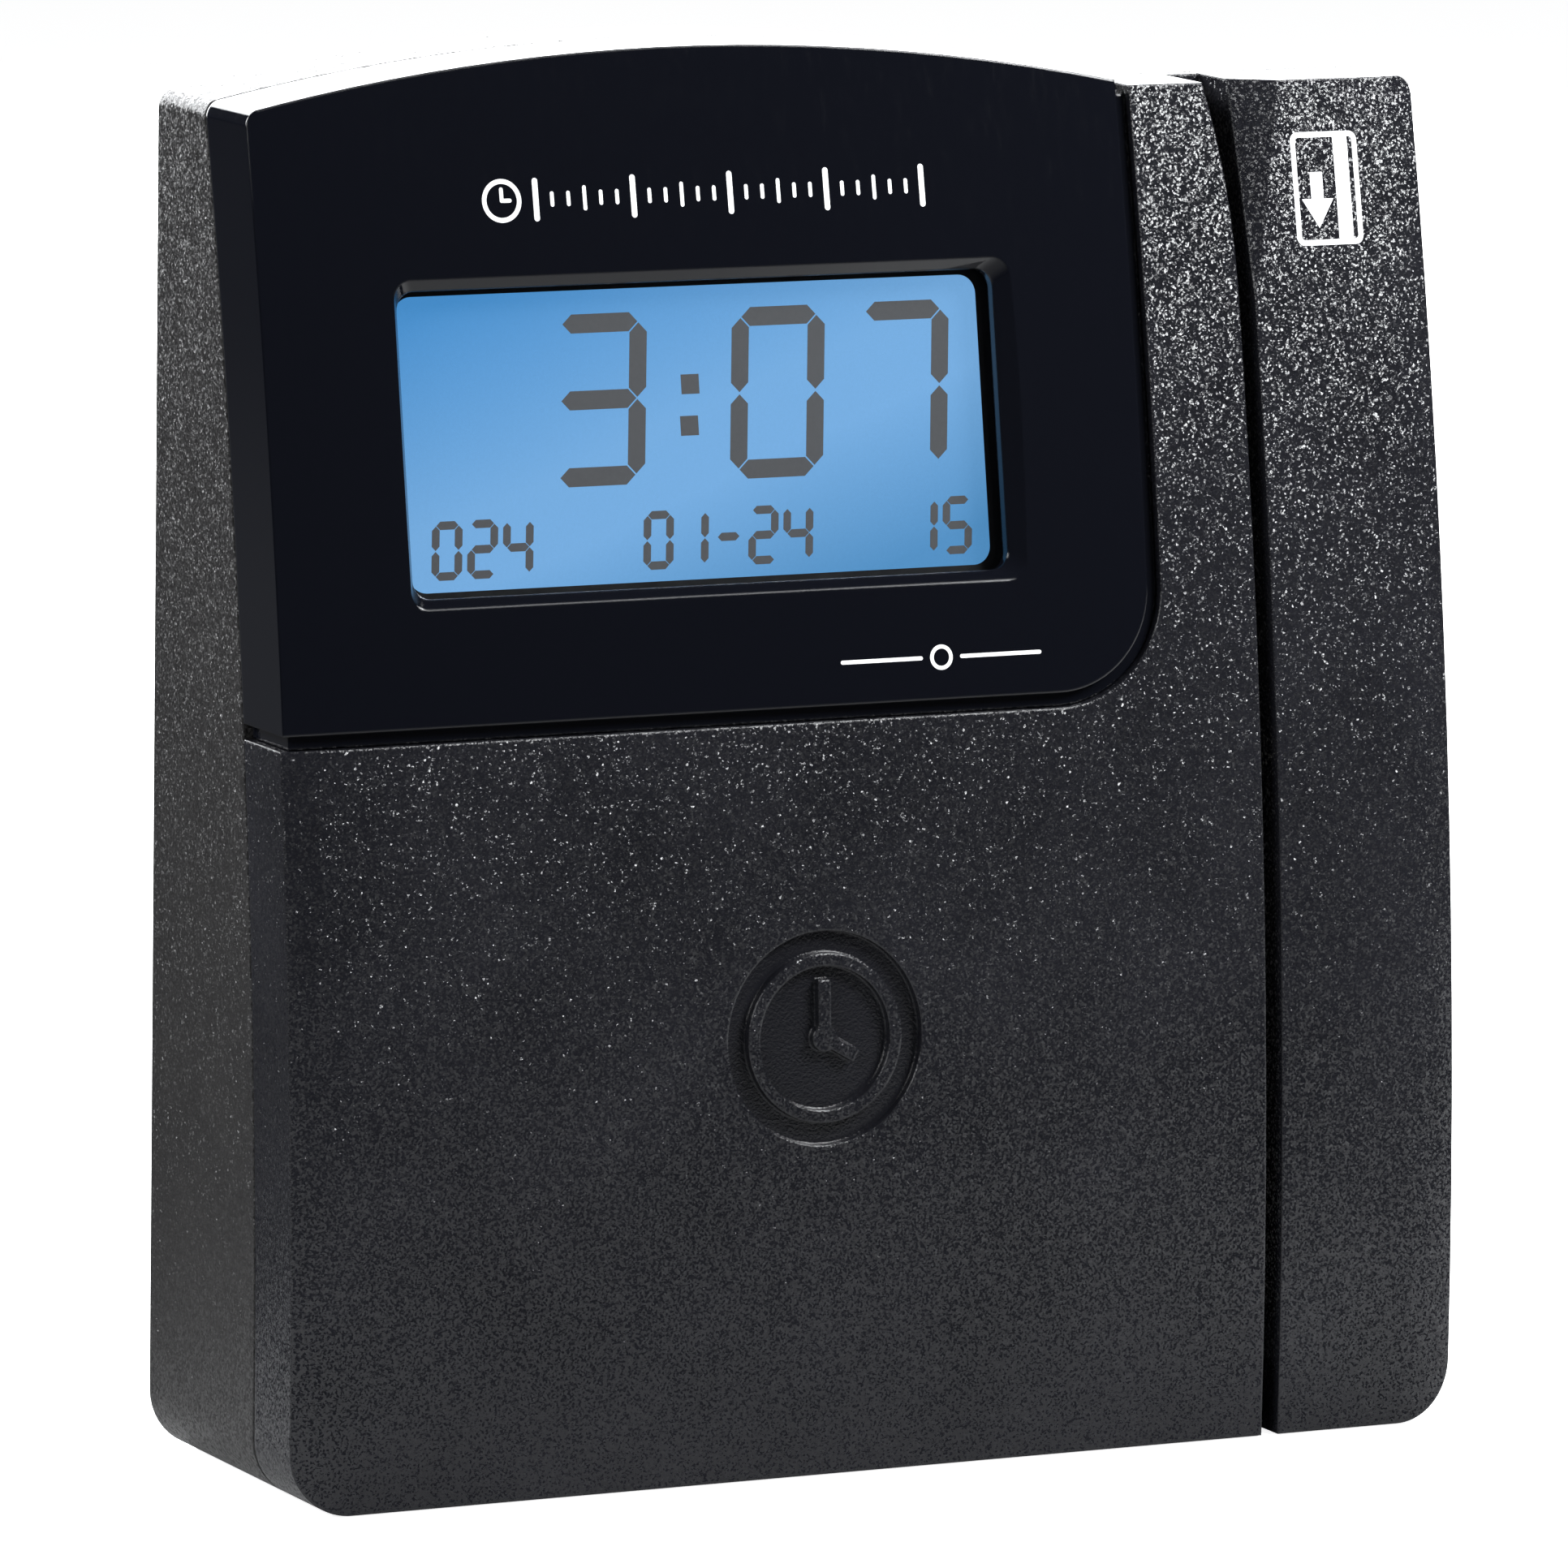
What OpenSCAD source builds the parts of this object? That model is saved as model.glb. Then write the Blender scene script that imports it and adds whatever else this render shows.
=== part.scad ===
// Wall-mounted time clock that reads magnetic-stripe cards swiped down a slot.
// +Z is up, +X is to the right as seen from the front, and the front faces -Y.
// The origin is the centre of the bracket's screw pattern, on the wall plane.

/* [Case] */
// Width of the case
case_w = 165; // [160:1:175]
// Height of the case at its straight top edge
case_h = 174.3; // [172:0.1:178]
// Largest depth of the case, from the wall to the front face
case_d = 45.8; // [44:0.2:50]
// Radius of the front face's curve, seen from the side
face_r = 725; // [650:5:900]
// Height above the bottom edge at which the front face is furthest out
face_peak_z = 12; // [5:1:25]
// Depth of the front moulding behind the front face
cover_d = 12.4; // [11:0.2:14]
// Wall thickness of the mouldings
wall = 2.4; // [2:0.1:2.6]
// Open line between the front moulding and the rear case
part_gap = 0.5; // [0.3:0.1:0.8]
// Radius of the two bottom corners
foot_r = 8; // [5:1:12]
// Radius of the top corners
shoulder_r = 2.5; // [2.5:0.5:4]
// Width over which the front moulding falls away beside its left and right edges
roll_w = 7.5; // [5:0.5:10]
// Radius of that fall
roll_r = 28; // [20:1:40]

/* [Arched top] */
// Height of the arch's highest point above the bottom edge
arch_peak_z = 181; // [180.5:0.1:184]
// Radius of the arch
arch_r = 298; // [290:2:320]
// Distance of the arch's highest point from the case's centre line
arch_x = -20.5; // [-22:0.5:-19]

/* [Display bezel] */
// Height of the bezel's lower edge above the bottom edge
bezel_z = 98.2; // [96:0.2:100]
// Right-hand edge of the bezel
bezel_x = 38.9; // [38:0.1:39.5]
// Radius of the bezel's lower right corner
bezel_corner_r = 13; // [8:1:16]
// Width of the groove between the bezel and the front moulding
seam = 2; // [1.5:0.1:2.2]
// Depth of that groove
seam_d = 1.2; // [0.6:0.2:1.6]
// Centre of the display across the case
lcd_x = -20.9; // [-22:0.1:-20]
// Centre of the display above the bottom edge
lcd_z = 133.1; // [132:0.1:134]
// Width of the recess around the display, at the face
recess_w = 86.6; // [84:0.2:88]
// Height of the recess around the display, at the face
recess_h = 42.1; // [40:0.1:43]
// Depth of that recess
recess_d = 3; // [2.4:0.2:3.6]
// Depth of the recess's sloping rim, above its straight walls
rim_d = 1.6; // [1:0.2:2]

/* [Card slot] */
// Left wall of the slot
slot_x = 54.5; // [53:0.1:56]
// Width of the slot
slot_w = 2.4; // [2:0.1:3]
// Distance of the slot's floor from the wall plane
slot_floor = 16.5; // [16.2:0.1:17]
// Thickness of the slot's side walls and floor
slot_wall = 1.6; // [1.4:0.1:1.7]
// Length of the flared mouth at the top of the slot
mouth_h = 26; // [20:1:32]
// How far the left side of the mouth opens
mouth_w = 3; // [2:0.5:4]
// Width of the ramp on the right side of the mouth, at the top
ramp_w = 5.6; // [4:0.2:6]
// Length of the ramp down the slot
ramp_h = 34; // [26:1:40]
// Depth of the ramp at the slot's edge, at the top
ramp_d = 3.4; // [2:0.2:4]
// Height of the read head above the bottom edge
head_z = 87; // [80:1:95]
// Distance of the read head's centre from the slot's floor
head_reach = 8.9; // [8:0.1:10]
// Travel of the sprung read head
head_travel = 0.8; // [0.5:0.1:1]

/* [Wall bracket] */
// Height of the screw pattern's centre above the case's bottom edge
bracket_z = 100; // [96:1:104]
// Width of the bracket plate
bracket_w = 80; // [76:1:84]
// Height of the bracket plate
bracket_h = 60; // [56:1:64]
// Thickness of the bracket's steel
bracket_t = 1.5; // [1.2:0.1:1.8]
// Distance between the screw holes across
screw_span_x = 60; // [54:1:66]
// Distance between the screw holes up and down
screw_span_z = 40; // [36:1:44]
// Radius of the screw holes
screw_hole_r = 2.25; // [2:0.25:2.75]
// Height of the hooks' upright tongues
hook_h = 6; // [5:0.5:7]
// How far the clock lifts to come off its hooks
lift = 7; // [6.5:0.5:8]

/* [Circuit board] */
// Left edge of the main board
board_x0 = -66; // [-68:1:-64]
// Right edge of the main board
board_x1 = 48; // [46:1:49]
// Lower edge of the main board
board_z0 = 4; // [3.5:0.5:5]
// Upper edge of the main board
board_z1 = 94; // [90:1:96]
// Distance of the main board's rear face from the wall plane
board_y = 13; // [12:0.5:13.5]
// Thickness of the boards
board_t = 1.6; // [1:0.2:1.6]

/* [Hidden] */
$fn = 64;
FINE = 1440;     // segments on the long arcs of the case
EPS = 0.01;
half_w = case_w / 2;
axis_y = face_r - case_d;          // the front face is a cylinder about this line
part_r = face_r - cover_d;         // radius of the parting surface
deep_r = part_r - 5;               // cuts from the front reach in to this radius
tray_d = wall + 0.2;               // depth of the tray that carries the bezel
opening_x = bezel_x + seam;        // right edge of the front moulding's opening
far = 60;                          // reaches past every surface of the case
over = 1;                          // how far a cut runs past the surface that it opens
clear = 0.3;                       // gap between parts that pass each other
lip_gap = 0.2;                     // tongue across the parting line: play, thickness, reach, top
lip_t = 1.2;
lip_reach = 2;
lip_top = case_h - 20;

case_screw_x = 74;
case_screw_z = [14, 164];
case_screw_r = 1.5;
case_screw_l = 12;
case_screw_head_r = 2.8;
case_screw_head_h = 2.2;
case_boss_r = 4.2;
case_seat = 5.5;                   // length of each boss behind the parting surface

board_screw_at = [[-62, 12], [44, 12], [-62, 88], [44, 88]];
board_screw_r = 1.25;
board_screw_head_r = 2.4;
board_screw_head_h = 1.8;
board_screw_l = 6;
board_boss_r = 3;
board_face = -board_y - board_t;   // y of the main board's front face

pan_d = 5;                         // depth of the bracket's recess in the rear case
pan_w = bracket_w / 2 + 1.5;
pan_z0 = bracket_z - bracket_h / 2 - lift - 2.5;
pan_z1 = bracket_z + bracket_h / 2 + 1;
hook_w = 8;
hook_at = [[-18, 12], [18, 12], [-18, -20], [18, -20]];
tongue_y = -pan_d - wall - clear;  // rear face of the hooks' tongues
tongue_front_y = tongue_y - bracket_t;

jack_x = -50;
jack_size = [9, 11, 14];
jack_bore_r = 3.2;
usb_x = -26;
usb_size = [12, 11, 16];
lan_x = 4;
lan_size = [16, 13.5, 21];
socket_z = 1;                      // the sockets' mouths, just inside the bottom face
reset_x = 28;
reset_size = [6, 4, 6];
reset_z = 3.6;                     // height of the reset switch above the other sockets' mouths
reset_r = 1.1;
reset_travel = 0.3;
reset_bore_z = 7;                  // top of the bore that the plunger slides in
reset_slack = 0.2;                 // gap left above the plunger when it is pressed
sounder_at = [38, 24];
sounder_r = 6;
sounder_h = 8.5;
cell_at = [-38, 68];
cell_r = 10;
cell_h = 3.2;
processor_at = [-4, 62];
memory_at = [20, 64];
regulator_at = [-58, 56];
crystal_at = [-20, 52];
capacitor_at = [[-58, 34], [-46, 34]];

window_left = 0.8;                 // widths of the four sides of the recess's rim
window_right = 2.6;
window_top = 1.8;
window_bottom = 1.9;
window_r = 2.4;                    // radius of its corners
window_w = recess_w - window_left - window_right;
window_h = recess_h - window_top - window_bottom;
window_x = (window_left - window_right) / 2;
window_up = (window_bottom - window_top) / 2;
window_lap = 1.8;                  // how far the window laps behind the opening
tape_t = 0.4;
pane_t = 1.5;
pane_y = recess_d + tape_t;        // depths in the display stack, from the face inwards
glass_y = pane_y + pane_t + 0.6;
glass_t = 2.8;
guide_y = glass_y + glass_t + 0.1;
guide_t = 3;
lcd_board_y = glass_y + 7.4;
glass_w = window_w + 2;
glass_h = window_h + 4;
lcd_lip = 0.5;                     // lip of the frame in front of the glass, inside the tray's opening
strip_h = 2;
frame_w = 2.2;
lcd_screw_r = 1;
lcd_screw_l = 10;
lcd_screw_head_r = 2;
lcd_screw_head_h = 1.4;
lcd_screw_x = glass_w / 2 + frame_w + 5;
lcd_screw_z = glass_h / 2 - 2;
lcd_boss_r = 2.5;
lcd_boss_y = tray_d + wall + 1;    // rear ends of the tray's bosses for those screws

post_r = 1.5;                      // posts on the bezel's back, held by push nuts
post_l = 5;
post_at = [[-66, 104], [-58, 166], [31, 105], [31, 164]];

badge_x = -8.8;
badge_z = 56.2;
badge_r = 13.7;
badge_d = 1.2;

head_size = [6.5, 12, 9];
head_nose_r = 7;
head_poke = head_travel + 0.1;     // how far the head stands into the slot at rest
head_y = -slot_floor - head_reach;
head_x = slot_x + slot_w - head_poke;
spring_t = 0.25;
spring_w = 8;
spring_l = 42;
spring_x = head_x + head_size[0];
spring_screw_z = 18;
spring_post_r = 2.6;
spring_screw_r = 0.9;
rail_t = 0.4;                      // wear strip on the slot's floor
terminal_r = 2.2;                  // the head's terminal block, through a hole in the spring
terminal_l = 1.6;
head_plug = [10, 6, 5];
head_plug_at = [43, 72];
lead_r = 0.9;
lead_sides = 8;
// the lead's way from its connector, behind the card slot, to the head's terminals
lead_route = [[48, -17.6, 72], [49, -17.6, 72], [50.3, -16.6, 72.1], [51.3, -14.6, 72.3],
    [52.6, -12.8, 72.8], [54.8, -12, 73.6], [57.8, -12, 74.7], [61, -12.8, 76], [64, -15, 78],
    [66.4, -18.5, 80.6], [67.6, -22, 83.4], [67.3, -24.7, 85.8], [66.2, -25.4, 87], [65, -25.4, 87],
    [64.1, -25.4, 87]];

ribbon_w = 16;
ribbon_t = 0.3;
ribbon_x = 6;
ribbon_z = board_z1 - 6;           // height of the main board's ribbon socket
ribbon_drop = -8;                  // height of the display's ribbon socket from the display's centre
ribbon_socket = [20, 3, 5];

// ---------- functions and frames ----------

// y of a surface that lies depth behind the front face, at height z
function face_y(z, depth = 0) =
    axis_y - sqrt(pow(face_r - depth, 2) - pow(z - face_peak_z, 2));

// lean of the front face at height z
function face_lean(z) = asin((z - face_peak_z) / face_r);

// moves from the case's own heights, which count from its bottom edge, to the origin
module placed() translate([0, 0, -bracket_z]) children();

// local frame on the front face: +Y goes into the case, +Z up along the face
module on_face(x, z) {
    translate([x, face_y(z), z]) rotate([-face_lean(z), 0, 0]) children();
}

// the display stack's frame, at a depth behind the face
module on_display(depth) on_face(lcd_x, lcd_z) translate([0, depth, 0]) children();

// extrudes an outline drawn in X and Z forwards, from y = y0 to y = y1
module slab(y0, y1) {
    translate([0, y0, 0]) rotate([90, 0, 0]) linear_extrude(y0 - y1) children();
}

// a cylinder along Y, starting at a point and running towards -Y
module peg(x, y, z, r, length) {
    translate([x, y, z]) rotate([90, 0, 0]) cylinder(r = r, h = length);
}

// a box from its lowest to its highest corner
module span(low, high) translate(low) cube(high - low);

// a box centred in X and Z that grows towards +Y from y = 0
module plate(w, t, h) translate([-w / 2, 0, -h / 2]) cube([w, t, h]);

module round_rect(x0, z0, x1, z1, r) {
    translate([x0 + r, z0]) square([x1 - x0 - 2 * r, z1 - z0]);
    translate([x0, z0 + r]) square([x1 - x0, z1 - z0 - 2 * r]);
    for (x = [x0 + r, x1 - r], z = [z0 + r, z1 - r]) translate([x, z]) circle(r);
}

module centred_rect(w, h, r) round_rect(-w / 2, -h / 2, w / 2, h / 2, r);

// ---------- the case's outline and skins ----------

// arch with its left-hand corner rounded; the corner's circle stands proud of the arch and of
// the side by a hair, so that it crosses both
module arch_outline(inset) {
    proud = 0.05;
    r = shoulder_r - inset / 2;
    reach = arch_r - inset - r + proud;    // from the arch's centre to the corner's
    corner_x = inset - half_w + r - proud;
    corner_z = arch_peak_z - arch_r + sqrt(reach ^ 2 - (corner_x - arch_x) ^ 2);
    touch_x = corner_x + r * (corner_x - arch_x) / reach;
    difference() {
        intersection() {
            translate([arch_x, arch_peak_z - arch_r]) circle(arch_r - inset, $fn = FINE);
            translate([inset - half_w, case_h / 2]) square([half_w + opening_x - 2 * inset, case_h]);
        }
        difference() {
            translate([corner_x - r - over, corner_z]) square([touch_x - corner_x + r + over, far]);
            translate([corner_x, corner_z]) circle(r);
        }
    }
}

module case_outline(inset = 0) {
    reach = half_w - inset;
    intersection() {
        round_rect(-reach, inset, reach, case_h + far, foot_r - inset / 2);
        round_rect(-reach, -far, reach, case_h - inset, shoulder_r - inset / 2);
    }
    arch_outline(inset);
}

// outline of the bezel, or of the opening around it when it is grown
module bezel_outline(grow = 0) {
    round_rect(-case_w, bezel_z - grow, bezel_x + grow, case_h + far, bezel_corner_r + grow);
}

// section of the front moulding: radius along X and the case's width along Y, a little
// wider than the case, whose outline trims it
module skin_section(inset, inner_r, rolled) {
    outer_r = face_r - inset;
    reach = half_w - inset;
    difference() {
        translate([inner_r, -reach - over]) square([outer_r - inner_r, 2 * (reach + over)]);
        if (rolled) {
            for (side = [-1, 1]) on_side(side) difference() {
                translate([outer_r - 2, reach - roll_w]) square([3, roll_w + 2 * over]);
                translate([outer_r - roll_r, reach - roll_w]) circle(roll_r, $fn = FINE);
            }
        }
    }
}

module on_side(side) mirror([0, side < 0 ? 1 : 0]) children();

// solid between the front face, moved in by inset, and a surface of radius inner_r
module front_body(inset, inner_r = part_r + part_gap / 2, rolled = true) {
    intersection() {
        slab(0, -far) case_outline(inset);
        translate([0, axis_y, face_peak_z]) rotate([0, 90, 0])
            rotate_extrude(angle = 20, start = 254, $fn = FINE)
                skin_section(inset, inner_r, rolled);
    }
}

// everything behind the parting surface
module behind_parting(gap) {
    translate([-case_w, axis_y, face_peak_z]) rotate([0, 90, 0])
        cylinder(r = part_r - gap, h = 2 * case_w, $fn = FINE);
}

// ---------- housing ----------

module case_boss(z) {
    seat_y = face_y(z, cover_d);
    for (side = [-1, 1]) peg(side * case_screw_x, 0, z, case_boss_r, -seat_y - part_gap / 2);
}

module case_screw_cut(z) {
    seat_y = face_y(z, cover_d) + case_seat;
    for (side = [-1, 1]) {
        peg(side * case_screw_x, 1, z, case_screw_head_r + clear, 1 - seat_y);
        peg(side * case_screw_x, 0, z, case_screw_r + 0.2, far);
    }
}

module hook_slots() {
    play = 0.5;
    rest_gap = 0.15;
    for (at = hook_at) {
        neck_z = bracket_z + at[1];
        span([at[0] - hook_w / 2 - play, tongue_front_y - play, neck_z - bracket_t - lift - play],
            [at[0] + hook_w / 2 + play, -over, neck_z + rest_gap]);
    }
}

module socket_windows() {
    translate([jack_x, board_face - jack_size[1] / 2, -1]) cylinder(r = 4.2, h = wall + 2);
    for (socket = [[usb_x, usb_size], [lan_x, lan_size]]) {
        translate([socket[0] - socket[1][0] / 2 - clear, board_face - socket[1][1] - clear, -1])
            cube([socket[1][0] + 2 * clear, socket[1][1] + 2 * clear, wall + 2]);
    }
    translate([reset_x, board_face - reset_size[1] / 2, -1]) cylinder(r = 1.6, h = wall + 2);
    for (i = [-2:2]) translate([sounder_at[0] + 2.6 * i, -24, -1]) cylinder(r = 0.8, h = wall + 2);
}

module rear_case() {
    color([0.11, 0.11, 0.12]) placed() difference() {
        union() {
            difference() {
                slab(0, -far) case_outline();
                slab(-wall, -far - 1) case_outline(wall);
            }
            rim_lip();
            for (z = case_screw_z) case_boss(z);
            span([-pan_w - wall, -pan_d - wall, pan_z0 - wall], [pan_w + wall, -EPS, pan_z1 + wall]);
            for (at = board_screw_at) peg(at[0], -1, at[1], board_boss_r, board_y - 1);
        }
        difference() {
            span([-case_w, -far - 2, -far], [case_w, 1, case_h + far]);
            behind_parting(part_gap / 2);
            rim_lip();
        }
        span([-pan_w, -pan_d, pan_z0], [pan_w, 1, pan_z1]);
        hook_slots();
        for (z = case_screw_z) case_screw_cut(z);
        for (at = board_screw_at) peg(at[0], -pan_d - wall - 0.5, at[1], board_screw_r, far);
        socket_windows();
        span([slot_x - slot_wall - clear, -far, -1],
            [slot_x + slot_w + slot_wall + clear, slot_wall + clear - slot_floor, case_h + 1]);
    }
}

// thin tongue that bridges the parting line along the sides and the bottom
module rim_lip() {
    difference() {
        intersection() {
            slab(0, -far) difference() {
                case_outline(wall - lip_gap);
                case_outline(wall + lip_gap + lip_t);
            }
            behind_parting(part_gap / 2 - lip_reach);
            slab(0, -far) translate([-case_w, 0]) square([2 * case_w, lip_top]);
        }
        behind_parting(2 * lip_reach);
        slab(0, -far) bezel_outline(seam + wall + clear);
        difference() {
            slab(0, -far) difference() {
                case_outline();
                case_outline(wall + lip_gap);
            }
            behind_parting(part_gap / 2);
        }
    }
}

// flared mouth: a curve on the slot's left side and a flat ramp on its right
module mouth_cut() {
    start_z = case_h - mouth_h;
    curve_r = (mouth_h * mouth_h + mouth_w * mouth_w) / (2 * mouth_w);
    slab(-slot_floor, -far) difference() {
        translate([slot_x - mouth_w - over, start_z]) square([mouth_w + 2 * over, mouth_h + over]);
        translate([slot_x - curve_r, start_z]) circle(curve_r, $fn = FINE);
    }
    intersection() {
        translate([slot_x + slot_w + ramp_w, face_y(case_h), case_h])
            rotate([-face_lean(case_h), 0, 0]) rotate([0, atan(ramp_w / ramp_h), 0])
                rotate([0, 0, -atan(ramp_d / ramp_w)])
                    translate([-far, -far, -2 * ramp_h]) cube([far, far, 3 * ramp_h]);
        span([slot_x + slot_w - clear, -far, 0], [half_w, 0, case_h + over]);
    }
}

module badge_cut() {
    ring_out = 10.8;
    ring_in = 9.2;
    hand_w = 1.7;
    minute_hand = 7.4;
    hour_hand = 5;
    difference() {
        slab(0, -far) translate([badge_x, badge_z]) difference() {
            circle(badge_r);
            difference() {
                circle(ring_out);
                circle(ring_in);
            }
            circle(hand_w);
            translate([-hand_w / 2, 0]) square([hand_w, minute_hand]);
            rotate(-120) translate([-hand_w / 2, 0]) square([hand_w, hour_hand]);
        }
        front_body(badge_d, deep_r);
    }
}

// hollow shell between two depths behind the front face
module shell(outer, inner) {
    difference() {
        front_body(outer);
        front_body(inner, deep_r);
    }
}

module front_cover() {
    color([0.09, 0.09, 0.1]) placed() difference() {
        union() {
            difference() {
                shell(0, wall);
                slab(0, -far) bezel_outline(seam);
            }
            bezel_tray();
            card_channel();
            cover_bosses();
            lcd_bosses();
        }
        span([slot_x, -far, -1], [slot_x + slot_w, -slot_floor, case_h + 10]);
        mouth_cut();
        head_window();
        on_display(-EPS) plate(recess_w + 3, far / 2, recess_h + 6);
        on_lcd_screws(tray_d + wall - 1) cylinder(r = lcd_screw_r, h = 4);
        for (at = post_at) on_face(at[0], at[1]) rotate([-90, 0, 0])
            cylinder(r = post_r + 0.2, h = 8);
        badge_cut();
        for (z = case_screw_z, side = [-1, 1]) {
            reach = case_screw_l - case_seat + 0.5 - face_y(z, cover_d);
            peg(side * case_screw_x, 0, z, case_screw_r, reach);
        }
    }
}

// sunk tray that carries the bezel
module bezel_tray() {
    difference() {
        intersection() {
            front_body(seam_d);
            slab(0, -far) bezel_outline(seam + wall);
        }
        front_body(tray_d + wall, deep_r);
        difference() {
            slab(0, -far) bezel_outline(seam);
            front_body(tray_d, deep_r - 5);
        }
    }
}

// walls and floor of the card slot, with two posts for the head's spring
module card_channel() {
    wall_x = slot_x + slot_w + slot_wall;
    intersection() {
        span([slot_x - slot_wall, -far, 0], [wall_x, slot_wall - slot_floor, case_h]);
        translate([-case_w, axis_y, face_peak_z]) rotate([0, 90, 0])
            cylinder(r = face_r - 0.5, h = 2 * case_w, $fn = FINE);
    }
    difference() {
        on_spring_screws(wall_x - EPS) cylinder(r = spring_post_r, h = spring_x - wall_x + EPS);
        on_spring_screws(wall_x + 0.5) cylinder(r = spring_screw_r, h = far);
    }
}

module on_spring_screws(x) {
    for (side = [-1, 1]) translate([x, head_y, head_z + side * spring_screw_z])
        rotate([0, 90, 0]) children();
}

// hole in the slot's right wall that the read head looks through
module head_window() {
    gap = 0.6;
    reach = [slot_wall + 2, head_size[1] / 2 + gap, head_size[2] / 2 + gap];
    middle = [slot_x + slot_w, head_y, head_z];
    span(middle - [1, reach[1], reach[2]], middle + reach);
}

// screw bosses; the upper left one stands on the tray under the bezel
module cover_bosses() {
    for (z = case_screw_z, side = [-1, 1]) {
        start_y = face_y(z, cover_d) - part_gap / 2;
        root_d = side < 0 && z > bezel_z ? tray_d + 1.4 : wall - 0.5;
        peg(side * case_screw_x, start_y, z, case_boss_r, start_y - face_y(z, root_d));
    }
}

module lcd_bosses() {
    root_d = tray_d + 1;
    on_lcd_screws(root_d) cylinder(r = lcd_boss_r, h = lcd_boss_y - root_d);
}

// the bezel and its lower flange, which fills the groove between bezel and front moulding
module bezel_skin() {
    flange_gap = 0.15;
    difference() {
        union() {
            intersection() {
                front_body(0, rolled = false);
                slab(0, -far) bezel_outline();
            }
            intersection() {
                front_body(seam_d, rolled = false);
                slab(0, -far) bezel_outline(seam - flange_gap);
            }
        }
        front_body(wall, deep_r, rolled = false);
    }
}

// the recess round the display: a sloping rim, then straight walls
module recess_cut() {
    rise = 0.6;
    on_display(0) {
        hull() {
            slab(-rise, -rise - EPS) centred_rect(recess_w + 1.2, recess_h + 1, window_r, $fn = 32);
            slab(rim_d + EPS, rim_d) window_outline($fn = 32);
        }
        slab(recess_d + over, rim_d) window_outline();
    }
}

module window_outline() translate([window_x, window_up]) centred_rect(window_w, window_h, window_r);

module display_bezel() {
    color([0.02, 0.02, 0.025]) placed() difference() {
        union() {
            bezel_skin();
            intersection() {
                on_display(-2) plate(recess_w + 1, recess_d + 2, recess_h + 4);
                front_body(0, deep_r, rolled = false);
            }
            for (at = post_at) on_face(at[0], at[1])
                translate([0, wall - 0.5, 0]) rotate([-90, 0, 0]) cylinder(r = post_r, h = post_l + 0.5);
        }
        recess_cut();
    }
}

module bezel_push_nuts() {
    color("silver") placed() for (at = post_at) on_face(at[0], at[1])
        translate([0, tray_d + wall + 2 * EPS, 0]) rotate([-90, 0, 0]) difference() {
            cylinder(r = 3.6, h = 0.5);
            translate([0, 0, -1]) cylinder(r = post_r, h = 3);
        }
}

module case_screws() {
    color([0.25, 0.25, 0.27]) placed() for (z = case_screw_z) for (side = [-1, 1]) {
        seat_y = face_y(z, cover_d) + case_seat;
        peg(side * case_screw_x, seat_y + case_screw_head_h, z, case_screw_head_r, case_screw_head_h);
        peg(side * case_screw_x, seat_y, z, case_screw_r, case_screw_l);
    }
}

// ---------- display ----------

module window_tape() {
    color([0.15, 0.15, 0.15]) placed() on_display(recess_d) translate([window_x, 0, window_up])
        difference() {
            plate(window_w + 2 * window_lap, tape_t, window_h + 2 * window_lap);
            translate([0, -1, 0]) plate(window_w + 1, tape_t + 2, window_h + 1);
        }
}

module display_window() {
    color([0.8, 0.9, 1, 0.35]) placed() on_display(pane_y) translate([window_x, 0, window_up])
        plate(window_w + 2 * window_lap, pane_t, window_h + 2 * window_lap);
}

module lcd_glass() {
    color([0.35, 0.6, 0.85]) placed() on_display(glass_y) translate([window_x, 0, window_up])
        plate(glass_w, glass_t, glass_h);
}

module light_guide() {
    color([0.9, 0.95, 1]) placed() on_display(guide_y) translate([window_x, 0, window_up])
        plate(glass_w, guide_t, glass_h - 2 * strip_h - 1);
}

module backlight_leds() {
    led = [1.2, 2.4, 4];
    color([0.95, 0.95, 0.85]) placed() on_display(guide_y + 0.3) translate([window_x, 0, window_up])
        for (z = [-10, 0, 10]) translate([glass_w / 2 + 0.1, 0, z - led[2] / 2]) cube(led);
}

module contact_strips() {
    color([0.75, 0.55, 0.6]) placed() on_display(glass_y + glass_t) translate([window_x, 0, window_up])
        for (side = [-1, 1]) translate([0, 0, side * (glass_h - strip_h) / 2])
            plate(glass_w - 6, lcd_board_y - glass_y - glass_t, strip_h);
}

// places a cylinder on each of the display's screws, running inwards from a depth
module on_lcd_screws(depth) {
    on_display(depth) translate([window_x, 0, window_up]) for (x = [-1, 1], z = [-1, 1])
        translate([x * lcd_screw_x, 0, z * lcd_screw_z]) rotate([-90, 0, 0]) children();
}

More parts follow.
